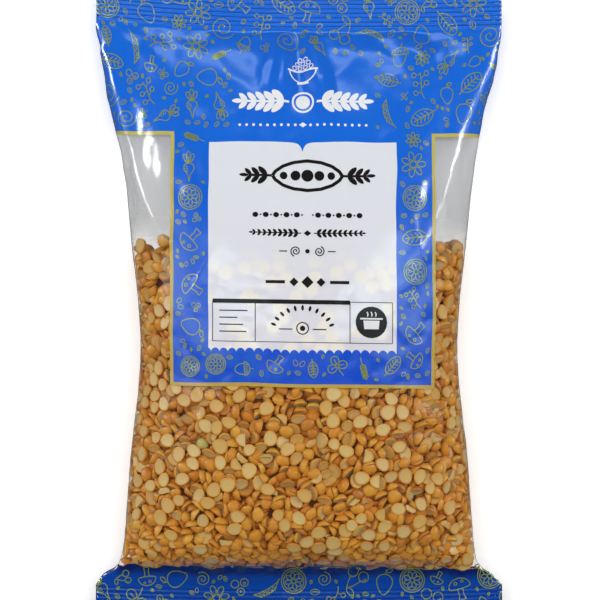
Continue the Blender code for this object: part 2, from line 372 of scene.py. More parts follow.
# Sharper creases of the slack film.
CREASES = [
    ((-0.0545, 0.0570), (-0.0600, 0.0545), 0.0008, 0.0004),
    ((-0.0700, 0.0500), (-0.0590, 0.0260), 0.0010, 0.0004),
    ((-0.0360, 0.0260), (-0.0520, -0.0020), 0.0012, 0.0004),
    ((-0.0500, -0.0400), (-0.0440, -0.0560), 0.0010, 0.0005),
    ((-0.0440, -0.0390), (-0.0390, -0.0510), 0.0010, 0.0009),
    ((0.0690, -0.0500), (0.0730, -0.0740), 0.0015, 0.0009),
    ((0.0560, -0.0450), (0.0630, -0.0560), 0.0010, 0.0006),
    ((0.0500, 0.0400), (0.0560, 0.0100), 0.0012, 0.0004),
    ((0.0380, 0.0700), (0.0450, 0.0300), 0.0015, 0.0004),
    ((0.0100, 0.1150), (0.0200, 0.0760), 0.0012, 0.0004),
    ((-0.0130, 0.1150), (-0.0200, 0.0800), 0.0012, 0.0004),
    ((0.0640, 0.0560), (0.0660, 0.0300), 0.0010, 0.0004),
]


# Wrinkles, in mm of height, and how far from a seal or the grams' top each kind reaches.
BROAD_WAVE = 0.50
CROSS_WAVE = 0.40
FINE_WAVE = 0.18
FLUTE_HEIGHT = 0.55
CRUMPLE_HEIGHT = 0.65
SLACK_REACH = 0.030
END_REACH = 0.020
FLUTE_REACH = 0.055
WELD_REACH = 0.005


def film_relief(points, normals, places):
    """How far folds and wrinkles lift the film, before the grams press on it."""
    relief = np.zeros(points.shape[:2])
    front = normals[:, :, 2] > 0
    for start, end, half_width, height in FOLDS:
        relief += crease(points, start, end, half_width, height) * front
    for start, end, half_width, height in CREASES:
        relief += crease(points, start, end, half_width, height, sharp=True) * front
    crest = np.zeros(relief.shape)
    for start, end in zip(LEFT_CREST, LEFT_CREST[1:]):
        piece = crease(points, start, end, CREST_HALF_WIDTH, CREST_HEIGHT, even=True)
        crest = np.maximum(crest, piece)
    relief += crest * front
    slack = ease((places - FILL_LINE) / SLACK_REACH)
    for j in range(len(places)):
        near_end = ease(1 - from_end(places[j]) / END_REACH)
        gathered = FLUTE_HEIGHT * ease(1 - from_end(places[j]) / FLUTE_REACH) * slack[j]
        loose = 0.25 + 0.75 * slack[j] + near_end
        for i in range(FILM_COLUMNS):
            x, y, z = points[j, i] / MM
            broad = noise.noise(Vector((x / 26, y / 34, z / 26)))
            cross = noise.noise(Vector(((x + y) / 13, (x - y) / 34, 7 + z / 20)))
            fine = noise.noise(Vector((x / 5, y / 16, 13 + z / 12)))
            flute = noise.noise(Vector((x / 8, y / 55, 29 + z / 12)))
            crumple = 0.3 - abs(noise.noise(Vector((x / 10 + broad, y / 15, 41 + z / 12))))
            relief[j, i] += loose * (BROAD_WAVE * broad + CROSS_WAVE * cross + FINE_WAVE * fine) * MM
            relief[j, i] += (gathered * flute + slack[j] * CRUMPLE_HEIGHT * crumple) * MM
    inside = np.array([ease(from_end(place) / WELD_REACH) for place in places])
    return relief * inside[:, None]


# Rings of a gram's outline from dome to cut face: reach, height as a share, how far it is cut face.
GRAM_RINGS = [(0.46, 0.93, 0), (0.79, 0.68, 0), (0.94, 0.36, 0), (1.0, 0.12, 0), (0.97, 0.0, 0.0),
              (0.85, -0.015, 0.3), (0.70, 0.02, 1)]
GRAM_HOLLOW = 0.07
GRAM_MIDDLE = 0.38


def gram_shape(kind, sides):
    """Half a gram in mm: a domed skin side, a rim and a flat cut face. Gives points, faces and cut share."""
    _, length, width, thickness, broken, _ = GRAM_KINDS[kind]
    rng = random.Random(kind)
    turns = [2 * math.pi * k / sides for k in range(sides)]
    wave_two = rng.uniform(0, 6)
    wave_three = rng.uniform(0, 6)
    outline = []
    for turn in turns:
        wobble = 0.04 * math.sin(2 * turn + wave_two) + 0.04 * math.sin(3 * turn + wave_three)
        beak = 0.09 * math.exp(-((turn - math.pi) / 0.45) ** 2)
        outline.append(1 + wobble + beak)
    points = [(0.0, 0.0, thickness)]
    cut = [0.0]
    for reach, level, cut_share in GRAM_RINGS:
        for turn, swell in zip(turns, outline):
            uneven = 1 + 0.09 * math.sin(2 * turn + wave_three) + 0.05 * math.sin(3 * turn + wave_two)
            points.append((length / 2 * reach * swell * math.cos(turn),
                           width / 2 * reach * swell * math.sin(turn), thickness * level * uneven))
            cut.append(cut_share)
    points.append((0.0, 0.0, thickness * GRAM_HOLLOW))
    cut.append(1.0)
    if broken is not None:
        for k, (x, y, z) in enumerate(points):
            slant = broken * length / 2 + 0.18 * y
            if x > slant:
                points[k] = (slant - 0.08 * (z / thickness), y, z)
                cut[k] = 0.85
    faces = []
    last = len(points) - 1
    for k in range(sides):
        after = (k + 1) % sides
        faces.append((0, 1 + k, 1 + after))
        for ring in range(len(GRAM_RINGS) - 1):
            start = 1 + ring * sides
            faces.append((start + k, start + sides + k, start + sides + after, start + after))
        start = 1 + (len(GRAM_RINGS) - 1) * sides
        faces.append((start + k, last, start + after))
    lowered = np.array(points) - (0, 0, thickness * GRAM_MIDDLE)
    return lowered, faces, np.array(cut)


# The kinds of split gram in the pack: length, width, thickness in mm, where it is broken, share.
GRAM_KINDS = [
    ("gram_large", 7.7, 6.8, 2.80, None, 3),
    ("gram_round", 6.9, 6.5, 2.90, None, 4),
    ("gram_long", 7.3, 5.8, 2.85, None, 4),
    ("gram_middling", 6.4, 5.7, 2.65, None, 4),
    ("gram_thin", 6.8, 6.0, 2.30, None, 2),
    ("gram_small", 5.7, 5.2, 2.45, None, 2),
    ("gram_broken_long", 7.0, 6.0, 2.70, 0.25, 1),
    ("gram_broken_short", 6.8, 6.2, 2.60, -0.15, 1),
]
SETTLE_SIDES = 8


def plain_mesh(name, points, faces):
    mesh = bpy.data.meshes.new(name)
    mesh.from_pydata([tuple(point) for point in points], [], faces)
    return mesh


def settle_grams(width, height):
    """Lets grams fall on the film laid flat, in mm, and gives each one's kind and resting place."""
    rng = random.Random(11)
    scene = bpy.context.scene
    scene.gravity = (0, -SETTLE_SLANT * SETTLE_PULL, -SETTLE_PULL)
    bpy.ops.rigidbody.world_add()
    scene.rigidbody_world.substeps_per_frame = 8
    scene.rigidbody_world.solver_iterations = 10
    meshes = []
    for k, kind in enumerate(GRAM_KINDS):
        points, faces, _ = gram_shape(k, SETTLE_SIDES)
        meshes.append(plain_mesh("falling_" + kind[0], points, faces))
    kinds = []
    falling = []
    picks = [k for k, kind in enumerate(GRAM_KINDS) for _ in range(kind[5])]
    row_gap = SETTLE_PITCH * math.sqrt(3) / 2
    first_x, first_y, first_z = SETTLE_FIRST
    for layer in range(SETTLE_LAYERS):
        for row in range(int((height - 8) / row_gap)):
            for column in range(int((width - 10) / SETTLE_PITCH)):
                kind = rng.choice(picks)
                gram = bpy.data.objects.new("falling_gram", meshes[kind])
                shifted = column + 0.5 * (row % 2)
                gram.location = (first_x + shifted * SETTLE_PITCH + rng.uniform(-0.3, 0.3),
                                 first_y + row * row_gap + rng.uniform(-0.3, 0.3),
                                 first_z + SETTLE_LAYER_GAP * layer + rng.uniform(-0.1, 0.1))
                gram.rotation_mode = "QUATERNION"
                turn = Quaternion([rng.gauss(0, 1) for _ in range(4)])
                turn.normalize()
                gram.rotation_quaternion = turn
                scene.collection.objects.link(gram)
                falling.append(gram)
                kinds.append(kind)
    walls = []
    far = 40.0
    for low, high in [((-far, -far, -far), (width + far, height + far, 0)),
                      ((-far, -far, -far), (0, height + far, far)),
                      ((width, -far, -far), (width + far, height + far, far)),
                      ((-far, -far, -far), (width + far, 0, far)),
                      ((-far, height, -far), (width + far, height + far, far))]:
        half = (Vector(high) - Vector(low)) / 2
        corners = [(x, y, z) for x in (-half.x, half.x) for y in (-half.y, half.y)
                   for z in (-half.z, half.z)]
        sides = [(0, 1, 3, 2), (4, 6, 7, 5), (0, 4, 5, 1), (2, 3, 7, 6), (0, 2, 6, 4), (1, 5, 7, 3)]
        wall = bpy.data.objects.new("settling_wall", plain_mesh("settling_wall", corners, sides))
        wall.location = (Vector(high) + Vector(low)) / 2
        scene.collection.objects.link(wall)
        walls.append(wall)
    bpy.context.view_layer.update()
    for group, body_type, shape in [(falling, "ACTIVE", "CONVEX_HULL"), (walls, "PASSIVE", "BOX")]:
        bpy.ops.object.select_all(action="DESELECT")
        for body in group:
            body.select_set(True)
        bpy.context.view_layer.objects.active = group[0]
        bpy.ops.rigidbody.objects_add(type=body_type)
        for body in group:
            body.rigid_body.collision_shape = shape
            body.rigid_body.friction = 1.0
            body.rigid_body.restitution = 0.0
            body.rigid_body.use_margin = True
            body.rigid_body.collision_margin = 0.03
            body.rigid_body.linear_damping = 0.1
            body.rigid_body.angular_damping = 0.6
    for step in range(1, SETTLE_FRAMES + 1):
        scene.frame_set(step)
    settled = bpy.context.evaluated_depsgraph_get()
    places = np.array([np.array(gram.evaluated_get(settled).matrix_world) for gram in falling])
    for body in falling + walls:
        bpy.data.objects.remove(body)
    for mesh in meshes:
        bpy.data.meshes.remove(mesh)
    bpy.ops.rigidbody.world_remove()
    scene.frame_set(1)
    return np.array(kinds), places


class FilmSurface:
    """The film as a surface that things are laid on.

    A place on it is a distance round from the front's middle and a place along the pack.
    """

    def __init__(self, points, normals, places):
        self.points = points
        self.normals = normals
        self.places = places
        steps = np.linalg.norm(np.roll(points, -1, axis=1) - points, axis=2)
        self.girth = steps.sum(axis=1)

    def at(self, around, along):
        """Points and ways out at arrays of distance round and place along."""
        row = np.interp(along, self.places, np.arange(len(self.places)))
        low = np.clip(np.floor(row).astype(int), 0, len(self.places) - 2)
        row_share = (row - low)[..., None]
        column = ((0.25 + around / np.interp(along, self.places, self.girth)) % 1.0) * FILM_COLUMNS
        left = np.floor(column).astype(int) % FILM_COLUMNS
        right = (left + 1) % FILM_COLUMNS
        column_share = (column - np.floor(column))[..., None]
        found = []
        for field in (self.points, self.normals):
            lower = field[low, left] * (1 - column_share) + field[low, right] * column_share
            upper = field[low + 1, left] * (1 - column_share) + field[low + 1, right] * column_share
            found.append(lower * (1 - row_share) + upper * row_share)
        out = found[1] / np.maximum(np.linalg.norm(found[1], axis=-1, keepdims=True), 1e-9)
        return found[0], out

    def around_of(self, across, along):
        """The distance round, over the front, of a place seen from the front."""
        across, along = np.broadcast_arrays(np.asarray(across, float), np.asarray(along, float))
        result = np.zeros(across.shape)
        quarter = np.arange(FILM_COLUMNS // 2 + 1)
        for spot in np.ndindex(across.shape):
            j = int(np.searchsorted(self.places, along[spot]).clip(0, len(self.places) - 1))
            result[spot] = np.interp(across[spot], self.points[j, quarter, 0],
                                     (quarter / FILM_COLUMNS - 0.25) * self.girth[j])
        return result


def lay_grams(surface, kinds, settled, width):
    """Takes the settled grams from the flat film to the real one: points and frame of each."""
    inside = (settled[:, 2, 3] > 0) & (settled[:, 2, 3] < GRAM_DEEPEST)
    around = -(settled[:, 0, 3] - width / 2) * MM
    at_film = inside & (settled[:, 2, 3] < GRAM_DEEPEST / 2)
    heap_top = np.percentile(settled[at_film, 1, 3], HEAP_TOP_SHARE)
    down = (heap_top - settled[:, 1, 3]) * MM
    rows = np.nonzero((surface.places <= FILL_LINE) & (surface.places >= FILL_BOTTOM))[0][::-1]
    columns = ((0.25 + around / FILL_GIRTH) % 1.0) * FILM_COLUMNS
    along = np.full(len(kinds), np.nan)
    lines = {}
    for k in np.nonzero(inside & (down > 0))[0]:
        hill = noise.noise(Vector((around[k] / HEAP_HILL, 0, 5)))
        hill += 0.4 * noise.noise(Vector((around[k] / HEAP_KNOLL, 0, 9)))
        column = int(columns[k]) % FILM_COLUMNS
        if down[k] < HEAP_UNEVEN * (0.2 + hill) + HEAP_TILT * surface.points[rows[0], column, 0]:
            continue
        if column not in lines:
            line = surface.points[rows, column]
            steps = np.linalg.norm(np.diff(line, axis=0), axis=1)
            lines[column] = np.concatenate([[0.0], np.cumsum(steps)])
        if down[k] <= lines[column][-1]:
            along[k] = np.interp(down[k], lines[column], surface.places[rows])
    kept = np.nonzero(~np.isnan(along))[0]
    spots, _ = surface.at(around[kept], along[kept])
    wide = np.array([HALF_WIDTH_AT(place) for place in along[kept]])
    low = along[kept] < FOOT_NARROWS
    kept = kept[~low | (np.abs(spots[:, 0]) < wide - GRAM_FROM_EDGE)]
    spots, out = surface.at(around[kept], along[kept])
    ahead, _ = surface.at(around[kept], along[kept] + 0.0008)
    up = ahead - spots
    up -= out * np.sum(up * out, axis=1, keepdims=True)
    up /= np.linalg.norm(up, axis=1, keepdims=True)
    side = np.cross(up, out)
    turn = np.stack([-side, up, -out], axis=2)
    turns = turn @ settled[kept, :3, :3]
    kinds = kinds[kept]
    depth = settled[kept, 2, 3] * MM
    gap = depth - outermost(kinds, turns, out)
    rng = np.random.default_rng(8)
    outward = np.sum(turns[:, :, 2] * out, axis=1)
    chance = rng.random(len(kept))
    flipped = (outward > DOME_OUT) & (chance < FLIP_SHARE)
    turns[flipped] = turns[flipped] @ np.diag([1.0, -1.0, -1.0])
    propped = (outward > DOME_OUT) & (chance >= FLIP_SHARE) & (chance < FLIP_SHARE + PROP_SHARE)
    propped |= (outward < -FACE_OUT) & (chance < FACE_PROP_SHARE)
    for g in np.nonzero(propped)[0]:
        way = rng.uniform(0, 2 * math.pi)
        hinge = Vector(side[g] * math.cos(way) + up[g] * math.sin(way))
        turns[g] = np.array(Matrix.Rotation(math.radians(rng.uniform(*PROP_ANGLES)), 3, hinge)) @ turns[g]
    depth = outermost(kinds, turns, out) + np.maximum(gap, 0.0) + FILM_CLEARANCE
    thickness = np.array([OVER_AT(place) - UNDER_AT(place) for place in along[kept]])
    wide = np.array([HALF_WIDTH_AT(place) for place in along[kept]])
    narrowing = np.sqrt(np.clip(1 - (spots[:, 0] / wide) ** 2, 0.0, 1.0))
    room = thickness / 2 * np.where(along[kept] < FOOT_NARROWS + 0.002, narrowing, 1.0)
    fits = depth < room + 0.0002
    spots = spots - out * depth[:, None]
    buried = ease((np.maximum(gap, 0.0) - BURIED_FROM) / BURIED_REACH)
    return kinds[fits], spots[fits], turns[fits], buried[fits]


def outermost(kinds, turns, out):
    """How far each gram reaches out from its middle."""
    reach = np.zeros(len(kinds))
    for k in range(len(GRAM_KINDS)):
        points, _, _ = gram_shape(k, GRAM_SIDES)
        chosen = kinds == k
        placed = np.einsum("gij,vj->gvi", turns[chosen], points * MM)
        reach[chosen] = np.einsum("gvi,gi->gv", placed, out[chosen]).max(axis=1)
    return reach


def heap_cap(kinds, settled, width):
    """Grams over the top of the heap inside the pack, seen through the clear film: places and turns."""
    middle = FILL_LINE - CAP_BELOW_LINE
    half_width = HALF_WIDTH_AT(middle) - CAP_FROM_SIDE
    low = UNDER_AT(middle) + CAP_FROM_FILM
    high = OVER_AT(middle) - CAP_FROM_FILM
    near = (settled[:, 2, 3] > 0) & (settled[:, 2, 3] < HEAP_CAP_DEEPEST)
    across = (settled[:, 0, 3] - width / 2) * MM
    rise = (settled[:, 1, 3] - CAP_SKIPS) * MM + low
    level = (rise - (low + high) / 2) / ((high - low) / 2)
    inside = near & (np.abs(level) < 1)
    inside[inside] = np.abs(across[inside]) < half_width * np.sqrt(1 - level[inside] ** 2)
    chosen = np.nonzero(inside)[0]
    turn = np.array([[1.0, 0, 0], [0, 0, -1.0], [0, 1.0, 0]])
    along = middle - LENGTH_MIDDLE - settled[chosen, 2, 3] * MM
    spots = np.stack([across[chosen], along, rise[chosen]], axis=1)
    rng = random.Random(3)
    for spot in spots:
        hill = noise.noise(Vector((spot[0], spot[2], 0)) / HEAP_HILL)
        spot[1] += HEAP_UNEVEN * hill + rng.uniform(-0.5, 0.5) * MM
    return kinds[chosen], spots, turn @ settled[chosen, :3, :3], np.zeros(len(chosen))


def gram_piece(kind, spots, turns, buried, material, rng, unripe):
    """All the grams of one kind as one mesh, each with its own tint. One of them may be unripe."""
    name = GRAM_KINDS[kind][0]
    points, faces, cut = gram_shape(kind, GRAM_SIDES)
    placed = spots[:, None, :] + np.einsum("gij,vj->gvi", turns, points * MM)
    count = len(spots)
    per = len(points)
    all_faces = []
    for g in range(count):
        base = g * per
        all_faces.extend([tuple(corner + base for corner in face) for face in faces])
    mesh = plain_mesh(name, placed.reshape(-1, 3), all_faces)
    tints = np.array([[rng.random(), rng.random()] for _ in range(count)])
    for label, values in [("cut_face", np.tile(cut, count)),
                          ("tint", np.repeat(tints[:, 0], per)),
                          ("warmth", np.repeat(tints[:, 1], per)),
                          ("buried", np.repeat(buried, per)),
                          ("unripe", np.repeat(np.arange(count) == unripe, per))]:
        attribute = mesh.attributes.new(label, "FLOAT", "POINT")
        attribute.data.foreach_set("value", values.astype(np.float32))
    mesh.materials.append(material)
    mesh.shade_smooth()
    return link_piece(name, mesh)


def link_piece(name, mesh):
    piece = bpy.data.objects.new(name, mesh)
    bpy.context.scene.collection.objects.link(piece)
    return piece


def pressed_film(points, normals, gram_meshes):
    """How far the film sinks between the grams that press on it."""
    corners = []
    faces = []
    for mesh in gram_meshes:
        start = len(corners)
        corners.extend([vertex.co.copy() for vertex in mesh.vertices])
        faces.extend([tuple(start + v for v in polygon.vertices) for polygon in mesh.polygons])
    tree = BVHTree.FromPolygons(corners, faces)
    reach = FILM_STANDS_OFF
    sunk = np.zeros(points.shape[:2])
    for j in range(points.shape[0]):
        for i in range(points.shape[1]):
            start = Vector(points[j, i] + normals[j, i] * reach)
            _, _, _, distance = tree.ray_cast(start, Vector(-normals[j, i]), reach + FILM_SEEKS)
            sunk[j, i] = FILM_SAG if distance is None else max(distance - reach, 0.0)
    deep = sunk
    for _ in range(2):
        deep = np.minimum.reduce([deep, np.roll(deep, 1, 0), np.roll(deep, -1, 0),
                                  np.roll(deep, 1, 1), np.roll(deep, -1, 1)])
    for _ in range(2):
        deep = (2 * deep + np.roll(deep, 1, 0) + np.roll(deep, -1, 0)
                + np.roll(deep, 1, 1) + np.roll(deep, -1, 1)) / 6
    return deep


def shown_discs(points, normals, spots, turns, buried):
    """Where a gram lies flat against the film, and so shows faintly through the thin white print. On the
    blue print the same mark gives a painted sheen.
    """
    near = (np.abs(turns[:, 2, 2]) > FLAT_ON) & (buried < 0.02)
    tree = KDTree(int(near.sum()))
    for spot in spots[near]:
        tree.insert(spot, 0)
    tree.balance()
    shown = np.zeros(points.shape[:2])
    for j in range(points.shape[0]):
        for i in range(FILM_COLUMNS // 2):
            found, _, _ = tree.find(points[j, i])
            if found is None:
                continue
            offset = points[j, i] - np.array(found)
            offset -= normals[j, i] * (offset @ normals[j, i])
            shown[j, i] = ease((DISC_REACH - np.linalg.norm(offset)) / DISC_EDGE)
    return shown


def tube_faces(rows, columns):
    """The faces between rows of points that run round a tube."""
    faces = []
    for j in range(rows - 1):
        for i in range(columns):
            k = (i + 1) % columns
            faces.append((j * columns + i, j * columns + k, (j + 1) * columns + k, (j + 1) * columns + i))
    return faces


def film_mesh(points):
    """The film as one closed skin: the tube, its flat seals and their cut ends."""
    rows, columns, _ = points.shape
    faces = tube_faces(rows, columns)
    half = columns // 2
    for row, flip in ((0, True), (rows - 1, False)):
        base = row * columns
        for i in range(half):
            under = (columns - i) % columns
            after = columns - i - 1
            face = [base + i, base + i + 1, base + after, base + under]
            face = list(dict.fromkeys(face))
            faces.append(tuple(reversed(face)) if flip else tuple(face))
    return plain_mesh("film", points.reshape(-1, 3), faces)


def linear(hex_value):
    """The linear colour of an sRGB hex value."""
    channels = [int(hex_value[i:i + 2], 16) / 255 for i in (0, 2, 4)]
    return tuple(c / 12.92 if c <= 0.04045 else ((c + 0.055) / 1.055) ** 2.4 for c in channels) + (1.0,)


def add(tree, kind, inputs=None, **settings):
    """Adds a node with its settings. An input is a value or another node's output."""
    node = tree.nodes.new(kind)
    for name, value in settings.items():
        setattr(node, name, value)
    for key, value in (inputs or {}).items():
        if isinstance(value, bpy.types.NodeSocket):
            tree.links.new(value, node.inputs[key])
        else:
            node.inputs[key].default_value = value
    return node


def blend(tree, share, first, second):
    """A colour between two, each an sRGB hex value or another node's output."""
    first, second = [linear(colour) if isinstance(colour, str) else colour for colour in (first, second)]
    node = add(tree, "ShaderNodeMix", {"Factor": share, "A": first, "B": second}, data_type="RGBA")
    return node.outputs["Result"]


def ramp(tree, value, low, high, start=0.0, end=1.0, **settings):
    """A number that runs from start to end while the value runs from low to high."""
    node = add(tree, "ShaderNodeMapRange", {"Value": value, "From Min": low, "From Max": high,
                                            "To Min": start, "To Max": end}, **settings)
    return node.outputs["Result"]


def share_of(tree, name):
    """A number that the mesh carries at each point."""
    return add(tree, "ShaderNodeAttribute", attribute_name=name).outputs["Fac"]


def cloudy(tree, place, size, detail, distortion=0.0):
    """A soft uneven pattern with patches of about one size."""
    return add(tree, "ShaderNodeTexNoise", {"Vector": place, "Scale": 1 / size, "Detail": detail,
                                            "Distortion": distortion})


def bumps(tree, pattern, strength, depth):
    node = add(tree, "ShaderNodeBump", {"Height": pattern.outputs["Fac"], "Strength": strength,
                                        "Distance": depth})
    return node.outputs["Normal"]


def shaders(tree, share, first, second):
    node = add(tree, "ShaderNodeMixShader", {0: share, 1: first, 2: second})
    return node.outputs[0]


def new_material(name):
    """A material without nodes yet, and its node tree."""
    material = bpy.data.materials.new(name)
    material.use_nodes = True
    tree = material.node_tree
    tree.nodes.clear()
    return material, tree


def place_on(tree):
    """The place on the piece, in metres."""
    return add(tree, "ShaderNodeTexCoord").outputs["Object"]


def painted(material, tree, inputs):
    """Ends a material with one shader."""
    shader = add(tree, "ShaderNodeBsdfPrincipled", inputs)
    add(tree, "ShaderNodeOutputMaterial", {"Surface": shader.outputs[0]})
    return material


def printed_film_material():
    """Laminated polypropylene film, reverse printed in blue, white and gold, and clear between.

    It is glossy, about 0.06 mm thick, and hazy where it stands clear of the grams.
    """
    material, tree = new_material("printed_polypropylene_film")
    place = place_on(tree)
    sway = cloudy(tree, place, 34 * MM, 1.0)
    centred = add(tree, "ShaderNodeVectorMath", {0: sway.outputs["Color"], 1: (0.5, 0.5, 0.5)},
                  operation="SUBTRACT")
    swayed = add(tree, "ShaderNodeVectorMath", {0: centred.outputs[0], "Scale": 2.6 * MM}, operation="SCALE")
    moved = add(tree, "ShaderNodeVectorMath", {0: place, 1: swayed.outputs[0]}, operation="ADD")
    parts = add(tree, "ShaderNodeSeparateXYZ", {"Vector": moved.outputs[0]})
    x = parts.outputs["X"]
    z = add(tree, "ShaderNodeSeparateXYZ", {"Vector": place}).outputs["Z"]

    def calc(operation, first, second=0.0, third=0.0):
        return add(tree, "ShaderNodeMath", {0: first, 1: second, 2: third}, operation=operation).outputs[0]

    def all_of(*marks):
        """Marks the places where every mark is 1."""
        both = marks[0]
        for mark in marks[1:]:
            both = calc("MULTIPLY", both, mark)
        return both

    def outside_of(low_x, high_x, low_y, high_y):
        """How far a place is outside a rectangle of the print, less than 0 within it."""
        off_x = calc("ABSOLUTE", calc("SUBTRACT", x, (low_x + high_x) / 2))
        off_y = calc("ABSOLUTE", calc("SUBTRACT", y, (low_y + high_y) / 2))
        return calc("MAXIMUM", calc("SUBTRACT", off_x, (high_x - low_x) / 2),
                    calc("SUBTRACT", off_y, (high_y - low_y) / 2))

    lower = calc("MULTIPLY_ADD", parts.outputs["Y"], -1.0, LABEL_TO)
    slant = calc("MULTIPLY_ADD", lower, PRINT_SLANT_GAIN, PRINT_SLANT)
    y = calc("MULTIPLY_ADD", x, slant, parts.outputs["Y"])

    # Where the film is printed, and where in gold.
    front = calc("GREATER_THAN", z, OUTLINE_HEIGHT)
    back = calc("SUBTRACT", 1.0, front)
    panel = outside_of(PANEL_LEFT, PANEL_RIGHT, PANEL_FROM, HEADER_FROM + 0.02)
    gold_edge = calc("MINIMUM", panel, calc("SUBTRACT", HEADER_FROM, y))
    foot = calc("MULTIPLY_ADD", x, FOOT_SLANT, parts.outputs["Y"])
    uneven = calc("MULTIPLY_ADD", cloudy(tree, place, 7 * MM, 1.0).outputs["Fac"], 5 * MM, -2.5 * MM)
    footer = calc("SUBTRACT", calc("ADD", foot, uneven), FOOTER_TO)
    printed = calc("LESS_THAN", calc("MINIMUM", gold_edge, footer), 0.0)
    gold = all_of(calc("GREATER_THAN", gold_edge, -GOLD_LINE), printed,
                  calc("GREATER_THAN", footer, -0.0003))

    # The white label with its scalloped foot and its notch, and the plain white panel of the back.
    scallop = calc("ABSOLUTE", calc("SINE", calc("MULTIPLY", x, math.pi / LABEL_SCALLOP)))
    low_edge = calc("MULTIPLY_ADD", calc("POWER", scallop, 0.55), SCALLOP_DEPTH, LABEL_FROM - 0.0007)
    from_notch = calc("ABSOLUTE", calc("SUBTRACT", x, LABEL_MIDDLE))
    notch = calc("POWER", math.e, calc("MULTIPLY", from_notch, -1 / NOTCH_HALF_WIDTH))
    high_edge = calc("MULTIPLY_ADD", notch, -NOTCH_DEPTH, LABEL_TO)
    label = all_of(calc("GREATER_THAN", y, low_edge), calc("LESS_THAN", y, high_edge),
                   calc("GREATER_THAN", x, LABEL_LEFT), calc("LESS_THAN", x, LABEL_RIGHT), front)
    back_white = all_of(calc("LESS_THAN", panel, -BACK_PANEL_INSET), back,
                        calc("LESS_THAN", y, HEADER_FROM - BACK_PANEL_INSET))
    white = calc("MAXIMUM", label, back_white)

    # The colours: blue, gold and white painted darker lower down as painted shade, a darker blue in the
    # footer, painted shade in the crimps' grooves and along the footer's top edge, and a painted sheen on
    # the blue where grams press the film.
    # Painted shade and light: this ramp colours the print darker towards the panel's foot, where less light
    # falls, and lighter towards the header.
    lower_painted_shade = ramp(tree, y, PANEL_FROM, HEADER_FROM, 1.0, 0.0)
    # Painted shade: the blue is darkened in the crimps' grooves, where less light reaches.
    groove_shade = share_of(tree, "groove_shade")
    contact = share_of(tree, "contact")
    fresh = blend(tree, cloudy(tree, place, 18 * MM, 3.0).outputs["Fac"], "0B61D2", "126ADC")
    blue = blend(tree, lower_painted_shade, fresh, "0045C2")
    # Painted sheen: the blue is lightened where grams press the film, standing in for reflections there.
    blue_with_painted_sheen = blend(tree, calc("MULTIPLY", contact, 0.10), blue, "2F86CC")
    into_foot = ramp(tree, footer, -0.001, 0.004, 1.0, 0.0)
    # Painted shade: a dark blue band along the footer's top edge, where the film turns under the grams.
    foot_shade = calc("MULTIPLY", ramp(tree, footer, -FOOT_SHADE_EDGE, -0.0015), into_foot)
    low_blue = blend(tree, into_foot, blue_with_painted_sheen, "00409C")
    shaded = blend(tree, calc("MAXIMUM", calc("MULTIPLY", groove_shade, 0.6), foot_shade), low_blue, "04195A")
    inked = blend(tree, gold, shaded, blend(tree, lower_painted_shade, "BDB354", "B6983A"))
    paper = blend(tree, contact, blend(tree, lower_painted_shade, "E5E9EF", "DDD9E2"), "EFEAE1")
    coloured = blend(tree, white, inked, paper)

    rippled = bumps(tree, cloudy(tree, place, 4 * MM, 2.0, 0.6), 0.18, 0.25 * MM)
    print_shader = add(tree, "ShaderNodeBsdfPrincipled", {"Base Color": coloured, "Roughness": 0.24,
                                                          "IOR": FILM_IOR, "Specular IOR Level": 0.2,
                                                          "Coat Weight": 1.0, "Coat Roughness": 0.19,
                                                          "Normal": rippled, "Coat Normal": rippled})
    sharp_gloss, soft_gloss = [
        add(tree, "ShaderNodeBsdfGlossy", {"Color": (1, 1, 1, 1), "Roughness": rough, "Normal": rippled})
        for rough in (0.09, 0.24)]
    gloss = shaders(tree, 0.4, sharp_gloss.outputs[0], soft_gloss.outputs[0])
    clear = add(tree, "ShaderNodeBsdfTransparent", {"Color": (0.985, 0.985, 0.98, 1)})
    inner_side = add(tree, "ShaderNodeNewGeometry").outputs["Backfacing"]
    either_side = calc("POWER", FILM_IOR, calc("MULTIPLY_ADD", inner_side, -2.0, 1.0))
    fresnel = add(tree, "ShaderNodeFresnel", {"IOR": either_side, "Normal": rippled})
    milky = add(tree, "ShaderNodeBsdfDiffuse", {"Color": linear("EFF1F3")})
    empty = ramp(tree, y, FILL_LINE - 0.006, FILL_LINE + 0.012, 0.01, 1.0, interpolation_type="SMOOTHSTEP")
    haze = ramp(tree, z, OUTLINE_HEIGHT - 0.012, OUTLINE_HEIGHT + 0.012, 0.85, 0.30)
    hazy = shaders(tree, calc("MULTIPLY", empty, haze), clear.outputs[0], milky.outputs[0])
    skin = shaders(tree, fresnel.outputs[0], hazy, gloss)
    opaque = calc("SUBTRACT", printed, calc("MULTIPLY", label, 0.10))
    whole = shaders(tree, opaque, skin, print_shader.outputs[0])
    add(tree, "ShaderNodeOutputMaterial", {"Surface": whole})
    return material


